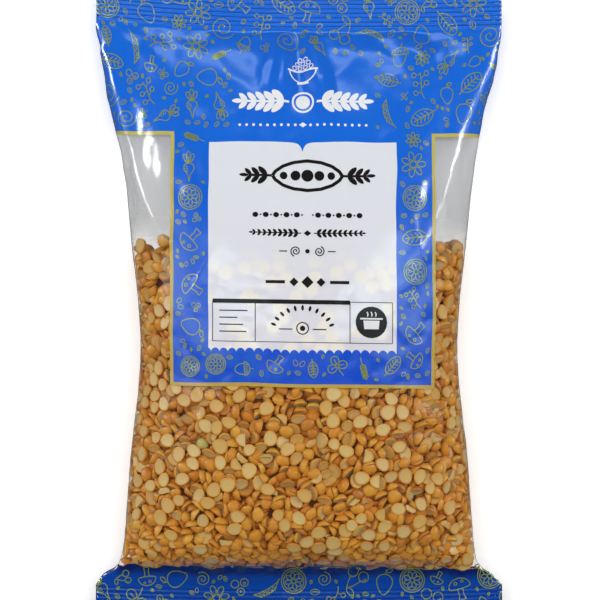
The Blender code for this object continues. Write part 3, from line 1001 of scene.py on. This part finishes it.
def gram_material():
    """Split gram: a dense, dry seed, satin on its golden skin side and chalky on its pale cut face. Grams
    lying far behind the film get a darker, redder painted shade.
    """
    material, tree = new_material("split_gram")
    place = place_on(tree)
    tint = share_of(tree, "tint")
    warmth = share_of(tree, "warmth")
    skin = blend(tree, tint, "CC8C26", "DAA63E")
    warm_skin = blend(tree, warmth, skin, "CE8626")
    roasted = ramp(tree, warmth, 0.84, 1.0, 0.0, 0.7)
    darker_skin = blend(tree, roasted, warm_skin, "A5611A")
    both = blend(tree, share_of(tree, "cut_face"), darker_skin, blend(tree, tint, "CBA45A", "D3B87C"))
    sound = blend(tree, share_of(tree, "unripe"), both, "B4AC5C")
    # Painted shade: grams lying far behind the film are coloured a darker, redder orange.
    buried_shade = add(tree, "ShaderNodeMath", {0: share_of(tree, "buried"), 1: 0.72}, operation="MULTIPLY")
    coloured = blend(tree, buried_shade.outputs[0], sound, "C0701C")
    grain = bumps(tree, cloudy(tree, place, 0.7 * MM, 2.0), 0.25, 0.12 * MM)
    return painted(material, tree, {"Base Color": coloured, "Roughness": 0.45, "IOR": 1.45, "Normal": grain,
                                    "Subsurface Weight": 0.2, "Subsurface Scale": 1.1 * MM,
                                    "Subsurface Radius": (1.0, 0.5, 0.2)})


def core_material():
    """The grams further in the pack, seen only in the gaps: a ground of dark golden cells, painted shade
    standing for the shaded grams there.
    """
    material, tree = new_material("gram_in_shade")
    place = place_on(tree)
    cells = add(tree, "ShaderNodeTexVoronoi", {"Vector": place, "Scale": 1 / (5.5 * MM)})
    colour = blend(tree, cells.outputs["Distance"], "8A4A18", "4A220A")
    return painted(material, tree, {"Base Color": colour, "Roughness": 0.7})


def ink_material(name, hex_value, roughness):
    """Ink under the same glossy film as the rest of the print."""
    material, tree = new_material(name)
    place = place_on(tree)
    darker = tuple(channel * 0.86 for channel in linear(hex_value)[:3]) + (1.0,)
    colour = blend(tree, cloudy(tree, place, 9 * MM, 2.0).outputs["Fac"], darker, hex_value)
    return painted(material, tree, {"Base Color": colour, "Roughness": roughness, "IOR": FILM_IOR,
                                    "Specular IOR Level": 0.2})


def gold_ink_material():
    """Gold ink with metal flake, olive in the shade and pale where a light is mirrored."""
    material, tree = new_material("gold_ink")
    return painted(material, tree, {"Base Color": linear("8E9A24"), "Metallic": 0.32, "Roughness": 0.32,
                                    "Coat Weight": 1.0, "Coat Roughness": 0.09})


def floor_material():
    """A matt white photographic table."""
    material, tree = new_material("white_table")
    return painted(material, tree, {"Base Color": linear("F4F4F4"), "Roughness": 0.9,
                                    "Emission Color": (1, 1, 1, 1), "Emission Strength": 0.3})


def circle(centre_x, centre_y, radius, start=0.0, sweep=2 * math.pi, flat=1.0):
    turns = start + np.linspace(0, sweep, max(8, round(22 * abs(sweep) / (2 * math.pi))))
    return np.stack([centre_x + radius * np.cos(turns), centre_y + flat * radius * np.sin(turns)], axis=1)


def turned(lines, angle, scale=1.0, move=(0.0, 0.0)):
    spin = np.array([[math.cos(angle), math.sin(angle)], [-math.sin(angle), math.cos(angle)]])
    return [line @ spin * scale + np.array(move) for line in lines]


def petal(length, breadth):
    """A pointed loop from the origin up to a tip."""
    t = np.linspace(0, math.pi, 9)
    right = np.stack([breadth * np.sin(t) ** 1.3, length * (1 - np.cos(t)) / 2], axis=1)
    left = right[::-1] * (-1, 1)
    return np.concatenate([right, left[1:]])


def leaf(length, breadth, angle, move=(0.0, 0.0)):
    """A pointed loop turned by an angle, with its foot at a place, as a list of one line."""
    return turned([petal(length, breadth)], angle, 1.0, move)


def wheat_ear():
    lines = [np.array([(0.0, -1.0), (0.03, -0.4), (0.0, 0.75)])]
    for step in range(5):
        for side in (-1, 1):
            lines += leaf(0.42, 0.11, -side * 0.55, (0.0, -0.35 + 0.22 * step))
    return lines + leaf(0.45, 0.11, 0.0, (0.0, 0.6))


def daisy():
    lines = [circle(0, 0, 0.24)]
    for step in range(7):
        lines += turned([petal(0.68, 0.2) + (0, 0.27)], step * 2 * math.pi / 7)
    return lines


def fruit_wheel():
    lines = [circle(0, 0, 0.9), circle(0, 0, 0.74)]
    for step in range(8):
        lines += turned([petal(0.5, 0.15) + (0, 0.14)], step * math.pi / 4)
    return lines


def broad_leaf():
    lines = [petal(1.9, 0.55) + (0, -0.8), np.array([(0, -1.1), (0, 0.85)])]
    for step in range(4):
        for side in (-1, 1):
            lines.append(np.array([(0, -0.45 + 0.33 * step), (side * 0.34, -0.2 + 0.33 * step)]))
    return lines


def berry_sprig():
    t = np.linspace(-1, 0.8, 9)
    lines = [np.stack([0.25 * np.sin(2 * t), t], axis=1)]
    for step, side in enumerate((-1, 1, -1, 1, -1)):
        height = -0.4 + 0.3 * step
        stem = 0.25 * math.sin(2 * height)
        lines.append(np.array([(stem, height - 0.12), (stem + side * 0.3, height)]))
        lines.append(circle(stem + side * 0.45, height + 0.04, 0.17))
    return lines


def ring_trio():
    return [circle(-0.42, -0.3, 0.36), circle(0.45, -0.32, 0.33), circle(0.0, 0.45, 0.36),
            circle(0.05, 0.42, 0.12), circle(0.42, -0.3, 0.1)]


def curl():
    t = np.linspace(0.3, 4.4 * math.pi, 40)
    reach = 0.9 * t / (4.4 * math.pi)
    return [np.stack([reach * np.cos(t), reach * np.sin(t)], axis=1)]


def mushroom():
    cap = circle(0, 0.1, 0.8, 0, math.pi, 0.85)
    brim = circle(0, 0.1, 0.8, math.pi, math.pi, 0.18)
    stem = np.array([(-0.2, 0.0), (-0.16, -0.5), (-0.26, -0.85), (0.26, -0.85), (0.16, -0.5), (0.2, 0.0)])
    return [cap, brim, stem, circle(-0.25, 0.42, 0.12), circle(0.25, 0.5, 0.1)]


def drop_pair():
    return (leaf(1.0, 0.3, 0.5, (-0.1, -0.5)) + leaf(0.9, 0.28, -0.6, (0.3, -0.6))
            + leaf(0.5, 0.12, 0.5, (-0.25, -0.25)))


def pear():
    t = np.linspace(0, 2 * math.pi, 24)
    across = 0.55 * np.sin(t) * (1 - 0.38 * np.cos(t))
    body = np.stack([across, -0.15 - 0.75 * np.cos(t + math.pi) * -1], axis=1)
    return [body, np.array([(0.0, 0.6), (0.08, 0.95)]), *leaf(0.5, 0.14, -1.1, (0.06, 0.75))]


def pea_pod():
    t = np.linspace(-1, 1, 9)
    seam = np.stack([0.12 - 0.12 * t * t, t], axis=1)
    shell = np.stack([0.12 - 0.12 * t * t + 0.36 * (1 - t * t) ** 0.7, t], axis=1)
    peas = [circle(0.27 + 0.06 * (1 - s * s), s, 0.13) for s in (-0.55, -0.2, 0.15, 0.5)]
    return [seam, shell, np.array([(0.0, 1.0), (-0.12, 1.22)])] + peas


def clover():
    lines = [np.array([(0.0, -0.1), (0.06, -0.6), (0.2, -1.0)])]
    for step in (-1, 0, 1):
        lines += turned([circle(0, 0.5, 0.36, -math.pi / 2, 2 * math.pi, 1.1),
                         np.array([(0, 0.12), (0, 0.62)])], step * 1.75)
    return lines


def cherry_pair():
    return [circle(-0.45, -0.5, 0.36), circle(0.42, -0.42, 0.38), circle(-0.5, -0.42, 0.16, 1.6, 2.0),
            np.array([(-0.42, -0.14), (-0.2, 0.4), (0.1, 0.85)]),
            np.array([(0.38, -0.05), (0.3, 0.4), (0.1, 0.85)]),
            *leaf(0.75, 0.2, 1.3, (0.1, 0.8))]


def acorn():
    nut = circle(0, 0.05, 0.5, math.pi, math.pi, 1.7)
    cup = [circle(0, 0.05, 0.62, 0, math.pi, 0.75), np.array([(-0.62, 0.05), (0.62, 0.05)])]
    ticks = [np.array([(x, 0.14), (x + 0.1, 0.36)]) for x in (-0.4, -0.2, 0.0, 0.2, 0.36)]
    return [nut, *cup, *ticks, np.array([(0, 0.5), (0.08, 0.85)])]


def radish():
    body = np.array([(0.0, -1.1), (-0.1, -0.6), (-0.38, -0.2), (-0.36, 0.12), (0, 0.25), (0.36, 0.12),
                     (0.38, -0.2), (0.1, -0.6), (0.0, -1.1)])
    rings = [np.array([(-0.3, level), (-0.05, level - 0.05)]) for level in (-0.15, 0.0, -0.32)]
    tops = [petal(0.85, 0.17)] + leaf(0.75, 0.16, 0.55) + leaf(0.75, 0.16, -0.55)
    return [body, *rings, *[top + (0, 0.25) for top in tops]]


def lone_seed():
    return [petal(1.6, 0.48) + (0, -0.8), np.array([(0.0, -0.45), (0.1, 0.0), (0.0, 0.45)])]


def seed_pair():
    return (leaf(1.1, 0.36, 0.5, (-0.2, -0.65)) + leaf(1.1, 0.36, -0.5, (0.35, -0.6)))


def small_twig():
    return [np.array([(-0.1, -1.0), (0.0, 0.0), (0.15, 0.9)]), *leaf(0.8, 0.24, 0.9, (0.0, -0.1)),
            *leaf(0.8, 0.24, -0.9, (0.0, -0.3))]


MOTIFS = [wheat_ear, daisy, fruit_wheel, broad_leaf, berry_sprig, ring_trio, mushroom, pear, pea_pod, clover,
          cherry_pair, acorn, radish, curl]
PLAIN_MOTIFS = [daisy, broad_leaf, berry_sprig, ring_trio, mushroom, pear, clover, cherry_pair, curl]
SMALL_MOTIFS = [drop_pair, lone_seed, seed_pair, small_twig, ring_trio, clover]


def print_slant(y):
    """How much the print runs downhill to its right, more so lower on the pack."""
    return PRINT_SLANT + PRINT_SLANT_GAIN * (LABEL_TO - np.asarray(y, float))


class Ink:
    """Printed lines and shapes, as narrow strips and small sheets that lie on the film."""

    def __init__(self, surface, lift):
        self.surface = surface
        self.lift = lift
        self.points = []
        self.faces = []

    def lay(self, around, along):
        """Adds points just clear of the film and gives the first one's number."""
        spots, out = self.surface.at(np.asarray(around, float), np.asarray(along, float))
        start = len(self.points)
        self.points.extend((spots + out * self.lift).reshape(-1, 3).tolist())
        return start

    def line(self, route, width, step=0.0008):
        """A strip along a route of distance round and place along."""
        route = np.asarray(route, float)
        gaps = np.linalg.norm(np.diff(route, axis=0), axis=1)
        length = np.concatenate([[0.0], np.cumsum(gaps)])
        if length[-1] < 1e-5:
            return
        count = max(2, math.ceil(length[-1] / step) + 1)
        even = np.linspace(0, length[-1], count)
        path = np.stack([np.interp(even, length, route[:, 0]), np.interp(even, length, route[:, 1])], axis=1)
        ahead = np.gradient(path, axis=0)
        ahead /= np.maximum(np.linalg.norm(ahead, axis=1, keepdims=True), 1e-9)
        side = np.stack([-ahead[:, 1], ahead[:, 0]], axis=1) * width / 2
        strip = np.stack([path + side, path - side], axis=1)
        start = self.lay(strip[:, :, 0], strip[:, :, 1])
        for a in range(start, start + 2 * count - 2, 2):
            self.faces.append((a, a + 1, a + 3, a + 2))

    def shape(self, outline, rings):
        """A filled shape inside an outline of distance round and place along."""
        outline = np.asarray(outline, float)
        if np.linalg.norm(outline[0] - outline[-1]) < 1e-6:
            outline = outline[:-1]
        following = np.roll(outline, -1, axis=0)
        if np.sum(outline[:, 0] * following[:, 1] - outline[:, 1] * following[:, 0]) < 0:
            outline = outline[::-1]
        middle = outline.mean(axis=0)
        shares = np.linspace(0, 1, rings + 1)[1:]
        spread = middle + (outline - middle) * shares[:, None, None]
        centre = self.lay([middle[0]], [middle[1]])
        start = self.lay(spread[:, :, 0], spread[:, :, 1])
        count = len(outline)
        for k in range(count):
            after = (k + 1) % count
            self.faces.append((centre, start + k, start + after))
            for ring in range(rings - 1):
                a = start + ring * count
                self.faces.append((a + k, a + count + k, a + count + after, a + after))

    def front(self, route):
        """Takes a route of places on the print, seen from the front, to one on the film."""
        route = np.asarray(route, float)
        along = route[:, 1] - route[:, 0] * print_slant(route[:, 1])
        return np.stack([self.surface.around_of(route[:, 0], along), along], axis=1)

    def draw(self, route, width):
        self.line(self.front(route), width)

    def fill(self, outline, rings):
        self.shape(self.front(outline), rings)

    def piece(self, name, material):
        mesh = plain_mesh(name, self.points, self.faces)
        mesh.materials.append(material)
        mesh.shade_smooth()
        return link_piece(name, mesh)


def scatter_motifs(ink, surface, allowed, low, high, girth, placed):
    """Fills part of the print with small drawn motifs, none of them touching."""
    rng = random.Random(21 + len(placed))
    for radius, tries in MOTIF_SIZES:
        around = np.array([rng.uniform(-girth / 2, girth / 2) for _ in range(tries)])
        along = np.array([rng.uniform(low, high) for _ in range(tries)])
        spots, out = surface.at(around, along)
        for a, b, spot, way in zip(around, along, spots, out):
            slanted = b + spot[0] * float(print_slant(b))
            if not allowed(spot[0], slanted, radius, way[2] > 0):
                continue
            if any(math.hypot(a - c, b - d) < radius + r + MOTIF_GAP for c, d, r in placed):
                continue
            placed.append((a, b, radius))
            if radius > 0.0045:
                motif = rng.choice(MOTIFS)()
            elif radius > 0.0030:
                motif = rng.choice(PLAIN_MOTIFS)()
            elif radius > 0.0020:
                motif = rng.choice(SMALL_MOTIFS)()
            else:
                motif = lone_seed()
            for route in turned(motif, rng.uniform(0, 2 * math.pi), radius, (a, b)):
                ink.line(route, MOTIF_LINE if radius > 0.0030 else SMALL_MOTIF_LINE)


def lozenge(x, y, half_width, half_height):
    return np.array([(x - half_width, y), (x, y - half_height), (x + half_width, y), (x, y + half_height)])


def leaf_branch(ink, start, end, leaves, length, breadth, stem):
    """A straight branch with filled leaves in pairs, for the emblem and the label."""
    start, end = np.array(start), np.array(end)
    ink.draw([start + (end - start) * t for t in np.linspace(0, 1, 12)], stem)
    lean = math.atan2(start[0] - end[0], end[1] - start[1])
    for step in range(leaves):
        share = (step + 0.6) / leaves
        shrink = 1 - 0.35 * share
        for side in (-1, 1):
            foot = start + (end - start) * share
            ink.fill(leaf(length * shrink, breadth * shrink, lean + side * 0.75, foot)[0], 2)
    ink.fill(leaf(length * 0.7, breadth * 0.6, lean, end)[0], 2)


def print_emblem(ink):
    """The white emblem: a bowl of grams over two leafy branches and a dotted rule."""
    x, y = EMBLEM_MIDDLE
    bowl = circle(x, y + 0.0145, 0.0060, math.pi, math.pi, 0.85)
    ink.draw(bowl, 0.0006)
    ink.draw([(x - 0.0068, y + 0.0146), (x + 0.0068, y + 0.0146)], 0.0008)
    ink.draw([(x - 0.0026, y + 0.0090), (x + 0.0026, y + 0.0090)], 0.0008)
    for level, row in ((0.0161, (-0.0038, -0.0013, 0.0012, 0.0037)), (0.0180, (-0.0025, 0.0, 0.0025)),
                       (0.0198, (-0.0012, 0.0012))):
        for place in row:
            ink.draw(circle(x + place, y + level, 0.0009), 0.0004)
    for side in (-1, 1):
        leaf_branch(ink, (x + side * 0.0062, y), (x + side * 0.0265, y + 0.0004), 5, 0.0075, 0.0017, 0.0010)
        for k in range(9):
            dot = circle(x + side * (0.0034 + 0.0031 * k), y - 0.0104, 0.00062)
            ink.fill(dot, 1)
    ink.fill(circle(x, y, 0.0032), 3)
    ink.draw(circle(x, y, 0.0046), 0.0009)
    ink.fill(lozenge(x, y - 0.0104, 0.0018, 0.0011), 1)


def print_label(ink, pale):
    """The label's black print: a pod between branches, garlands, a bar and a framed row with a disc."""
    x = LABEL_MIDDLE + 0.0020
    y = 0.0562
    pod = petal(0.0310, 0.0066)[:, ::-1] + (x - 0.0155, y)
    ink.draw(np.vstack([pod, pod[:1]]), 0.0015)
    for k in range(5):
        ink.fill(circle(x + (k - 2) * 0.0053, y, 0.0027 - 0.0005 * abs(k - 2)), 4)
    for side in (-1, 1):
        leaf_branch(ink, (x + side * 0.0158, y), (x + side * 0.0262, y + 0.0003), 3, 0.0060, 0.0013, 0.0011)
        for k in range(5):
            bean = circle(x + side * (0.0047 + 0.0046 * k), 0.0387, 0.0013, flat=0.9)
            ink.fill(bean, 2)
            ink.fill(circle(x + side * (0.0024 + 0.0046 * k), 0.0387, 0.0004), 1)
        leaf_branch(ink, (x + side * 0.0028, 0.0306), (x + side * 0.0240, 0.0309), 9, 0.0028, 0.0007, 0.0005)
        scroll = turned(curl(), 0.0 if side > 0 else math.pi, 0.0026, (x + side * 0.0052, 0.0226))[0]
        ink.draw(scroll, 0.0005)
        ink.draw([(x + side * 0.0090, 0.0226), (x + side * 0.0125, 0.0226)], 0.0005)
        ink.draw([(x + side * 0.0100, 0.0090), (x + side * 0.0185, 0.0090)], 0.0014)
        ink.fill(lozenge(x + side * 0.0060, 0.0090, 0.0020, 0.0020), 2)
    ink.fill(lozenge(x, 0.0306, 0.0017, 0.0013), 2)
    ink.fill(lozenge(x, 0.0090, 0.0027, 0.0027), 2)
    ink.fill(circle(x, 0.0226, 0.0010), 1)

    left, right, top, low = BOX_LEFT, BOX_RIGHT, BOX_TOP, BOX_LOW
    ink.draw([(left, top), (BOX_SECOND, top)], 0.0019)
    for rule in ([(left, top), (left, low)], [(left, low), (right, low)], [(right, low), (right, top)],
                 [(BOX_SECOND, top + 0.0002), (right, top + 0.0002)], [(BOX_FIRST, top), (BOX_FIRST, low)],
                 [(BOX_SECOND, top), (BOX_SECOND, low)]):
        ink.draw(rule, 0.00032)
    for k, length in enumerate((0.0125, 0.0080, 0.0105, 0.0120)):
        level = top - 0.0042 - 0.0031 * k
        ink.draw([(left + 0.0030, level), (left + 0.0030 + length, level)], 0.0005)
    middle = (BOX_FIRST + BOX_SECOND) / 2
    for k in range(11):
        turn = math.pi * (0.12 + 0.76 * k / 10)
        place = (middle - 0.0125 * math.cos(turn), low + 0.0035 + 0.0105 * math.sin(turn))
        ink.fill(leaf(0.0026, 0.0006, math.pi / 2 - turn, place)[0], 1)
    ink.draw(circle(middle, low + 0.0062, 0.0026), 0.0005)
    ink.fill(circle(middle, low + 0.0062, 0.0012), 1)
    for side in (-1, 1):
        ink.draw([(middle + side * 0.0045, low + 0.0058), (middle + side * 0.0105, low + 0.0058)],
                 0.0005)

    disc_x, disc_y = DISC_MIDDLE
    ink.fill(circle(disc_x, disc_y, 0.0070), 7)
    pot = [(-0.0036, 0.0008), (-0.0032, -0.0030), (0.0032, -0.0030), (0.0036, 0.0008)]
    pale.fill(np.array(pot) + DISC_MIDDLE, 3)
    pale.draw(np.array([(-0.0050, 0.0016), (0.0050, 0.0016)]) + DISC_MIDDLE, 0.0007)
    for k in (-1, 0, 1):
        steam = [(0.0018 * k + 0.0003 * math.sin(4 * t), 0.0026 + 0.0020 * t) for t in np.linspace(0, 1, 7)]
        pale.draw(np.array(steam) + DISC_MIDDLE, 0.0005)


def fill_pack(surface):
    """The grams that can be seen: the kind, place and turn of each, and how deep it lies."""
    kinds, settled = settle_grams(FILL_WIDTH / MM, FILL_HEIGHT / MM)
    at_film = lay_grams(surface, kinds, settled, FILL_WIDTH / MM)
    on_top = heap_cap(kinds, settled, FILL_WIDTH / MM)
    # The settled patch doesn't reach all the way round, so its middle is laid once more at the back.
    filled_rows = (surface.places < FILL_LINE) & (surface.places > FILL_BOTTOM)
    round_pack = float(surface.girth[filled_rows].mean())
    off_middle = np.abs(settled[:, 0, 3] * MM - FILL_WIDTH / 2)
    behind = (off_middle < (round_pack - FILL_WIDTH) / 2 - BACK_SEAM) & (settled[:, 2, 3] < BACK_DEEPEST)
    turned_round = settled[behind].copy()
    turned_round[:, 0, 3] -= round_pack / 2 / MM
    at_back = lay_grams(surface, kinds[behind], turned_round, FILL_WIDTH / MM)
    return [np.concatenate(parts) for parts in zip(at_film, on_top, at_back)]


def gram_pieces(kinds, spots, turns, buried):
    """One piece for each kind of gram. The one nearest to a chosen place is unripe."""
    material = gram_material()
    rng = random.Random(5)
    near_unripe = np.linalg.norm(spots - UNRIPE_GRAM, axis=1)
    near_unripe[(np.abs(turns[:, 2, 2]) < 0.8) | (buried > 0.1)] += 0.02
    pieces = []
    for k in range(len(GRAM_KINDS)):
        chosen = np.nonzero(kinds == k)[0]
        unripe = int(np.argmin(near_unripe[chosen]))
        if near_unripe[chosen[unripe]] > near_unripe.min():
            unripe = -1
        pieces.append(gram_piece(k, spots[chosen], turns[chosen], buried[chosen], material, rng, unripe))
    return pieces


def film_piece(skin, grooves, contact, material):
    """The film, with the marks that its material reads at each point."""
    film = link_piece("film", film_mesh(skin))
    for name, values in (("groove_shade", np.repeat(grooves, FILM_COLUMNS)), ("contact", contact.reshape(-1))):
        mark = film.data.attributes.new(name, "FLOAT", "POINT")
        mark.data.foreach_set("value", values.astype(np.float32))
    film.data.materials.append(material)
    film.data.shade_smooth()
    return film


def core_piece():
    """The rest of the heap, as one closed form behind the grams that can be seen."""
    rows = row_places(CORE_FROM, FILL_LINE - CORE_BELOW_LINE, CORE_ROW_PITCH)
    shares = np.arange(CORE_COLUMNS) / CORE_COLUMNS
    points = []
    for along in rows:
        across, height = loop_at(along, shares, CORE_DEPTH)
        points.extend((x, along - LENGTH_MIDDLE, max(z, CORE_DEPTH)) for x, z in zip(across, height))
    faces = tube_faces(len(rows), CORE_COLUMNS)
    faces.append(tuple(reversed(range(CORE_COLUMNS))))
    faces.append(tuple((len(rows) - 1) * CORE_COLUMNS + i for i in range(CORE_COLUMNS)))
    core = link_piece("gram_core", plain_mesh("gram_core", points, faces))
    core.data.materials.append(core_material())
    core.data.shade_smooth()
    return core


def header_allows(x, y, radius, front):
    emblem = front and abs(x - EMBLEM_MIDDLE[0]) < EMBLEM_HALF_WIDTH + radius
    emblem = emblem and EMBLEM_FROM < y < EMBLEM_TO + radius
    return y - radius > HEADER_FROM + 0.0022 and not emblem


def panel_allows(x, y, radius, front):
    within = PANEL_LEFT + 0.0018 + radius < x < PANEL_RIGHT - 0.0018 - radius
    beside = LABEL_LEFT - 0.0008 - radius < x < LABEL_RIGHT + 0.0008 + radius
    label = beside and y > LABEL_FROM - 0.001 - radius
    return front and within and PANEL_FROM + 0.0020 + radius < y < HEADER_FROM + 0.0012 and not label


def footer_allows(x, y, radius, front):
    return True


def print_pieces(surface):
    """The drawn print as pieces: gold motifs, white emblem, black label lines and the disc's pot."""
    girth = float(surface.girth.mean())
    gold = Ink(surface, GOLD_LIFT)
    placed = []
    for allows, low, high in ((header_allows, HEADER_FROM, surface.places[-1] - 0.001),
                              (panel_allows, PANEL_FROM, HEADER_FROM),
                              (footer_allows, surface.places[0] + 0.003, FOOTER_TO - 0.004)):
        scatter_motifs(gold, surface, allows, low, high, girth, placed)
    white = Ink(surface, INK_LIFT)
    black = Ink(surface, INK_LIFT)
    pale = Ink(surface, POT_LIFT)
    print_emblem(white)
    print_label(black, pale)
    return [gold.piece("gold_lines", gold_ink_material()),
            white.piece("white_emblem", ink_material("white_print", "EDEFF2", 0.2)),
            black.piece("label_lines", ink_material("black_print", "1C1A1A", 0.25)),
            pale.piece("label_disc", ink_material("pale_print", "E4E2E6", 0.25))]


def fin_piece(surface, material):
    """The fin seal: a folded strip of the film down the middle of the back."""
    fin = Ink(surface, FIN_STEP)
    back = float(surface.girth.mean()) / 2
    fin.line([(back, BOTTOM_SEAL + 0.001), (back, 0.0), (back, TOP_SEAL - 0.001)], 2 * FIN_HALF_WIDTH, 0.004)
    return fin.piece("fin_seal", material)


def table_piece():
    half = 1.6
    corners = [(-half, -half, 0), (half, -half, 0), (half, half, 0), (-half, half, 0)]
    table = link_piece("table", plain_mesh("table", corners, [(0, 1, 2, 3)]))
    table.data.materials.append(floor_material())
    table.visible_glossy = False
    return table


def main():
    bpy.context.scene.view_settings.view_transform = "Standard"

    base, places, grooves = base_film()
    base_out = surface_normals(base)
    kinds, spots, turns, buried = fill_pack(FilmSurface(base, base_out, places))
    pieces = gram_pieces(kinds, spots, turns, buried)

    relief = film_relief(base, base_out, places)
    sunk = pressed_film(base, base_out, [piece.data for piece in pieces])
    filled = ease((FILL_LINE - PRESSED_BELOW_LINE - places) / PRESSED_REACH)
    filled = filled * ease((places - PRESSED_FROM) / PRESSED_FOOT)
    skin = base + base_out * (relief - FILM_SINKS * sunk * filled[:, None])[:, :, None]
    skin[:, :, 2] = np.maximum(skin[:, :, 2], FILM_LOWEST)
    contact = shown_discs(base, base_out, spots, turns, buried) * filled[:, None]
    printed_film = printed_film_material()
    pieces.append(film_piece(skin, grooves, contact, printed_film))
    pieces.append(core_piece())
    film_surface = FilmSurface(skin, surface_normals(skin), places)
    pieces.extend(print_pieces(film_surface))
    pieces.append(fin_piece(film_surface, printed_film))

    for piece in pieces:
        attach(piece, "root")
        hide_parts("bag")
    table_piece()
    set_camera()
    set_lights()


def set_camera():
    """Looks straight down on the pack from far off, so the outline is true."""
    data = bpy.data.cameras.new("camera")
    data.sensor_width = 36.0
    data.lens = 36.0 * CAMERA_HEIGHT / FIELD
    camera = bpy.data.objects.new("camera", data)
    camera.location = (VIEW_CENTRE[0], VIEW_CENTRE[1], OUTLINE_HEIGHT + CAMERA_HEIGHT)
    bpy.context.scene.collection.objects.link(camera)
    bpy.context.scene.camera = camera


def soft_light(name, place, aim, size, radiance, colour, mirrored):
    """A soft box that faces a point. As with crossed polarisers, it only lights or is only mirrored."""
    data = bpy.data.lights.new(name, "AREA")
    data.shape = "RECTANGLE"
    data.size, data.size_y = size
    data.energy = radiance * math.pi * size[0] * size[1]
    data.color = colour
    light = bpy.data.objects.new(name, data)
    light.location = place
    light.rotation_euler = (Vector(aim) - Vector(place)).to_track_quat("-Z", "Y").to_euler()
    light.visible_glossy = mirrored
    light.visible_diffuse = not mirrored
    bpy.context.scene.collection.objects.link(light)


def set_lights():
    """Name, place, point faced, size in metres, strength and colour of each soft box."""
    middle = (0, 0, 0.03)
    upper = (0, 0.30, 0.03)
    white = (1, 1, 1)
    cool = (0.74, 0.94, 1.0)
    for box in [("overhead_key", (0.0, 0.25, 2.8), middle, (1.7, 1.7), 5.8, white),
                ("left_fill", (-1.1, 0.2, 0.9), middle, (0.8, 1.2), 2.2, white),
                ("right_fill", (1.1, 0.2, 0.9), middle, (0.8, 1.2), 2.2, white)]:
        soft_light(*box, mirrored=False)
    for box in [("left_high_box", (-0.75, 0.45, 2.2), upper, (0.26, 1.2), 4.6, cool),
                ("right_high_box", (1.00, 0.45, 1.9), upper, (0.26, 1.2), 4.6, cool),
                ("left_box", (-1.10, 0.10, 0.80), middle, (0.16, 1.3), 2.2, cool),
                ("right_box", (1.10, 0.10, 0.80), middle, (0.16, 1.3), 2.2, cool),
                ("far_box", (0.0, 1.3, 0.70), middle, (0.9, 0.22), 3.4, cool),
                ("left_low_box", (-1.20, 0.52, 0.20), (0, 0.52, 0.03), (0.26, 1.30), 22, white),
                ("right_low_box", (1.20, 0.50, 0.30), (0, 0.50, 0.03), (0.30, 1.00), 17, white)]:
        soft_light(*box, mirrored=True)
    world = bpy.data.worlds.new("studio")
    world.use_nodes = True
    background = world.node_tree.nodes["Background"]
    background.inputs["Color"].default_value = (1, 1, 1, 1)
    background.inputs["Strength"].default_value = 0.06
    bpy.context.scene.world = world


main()
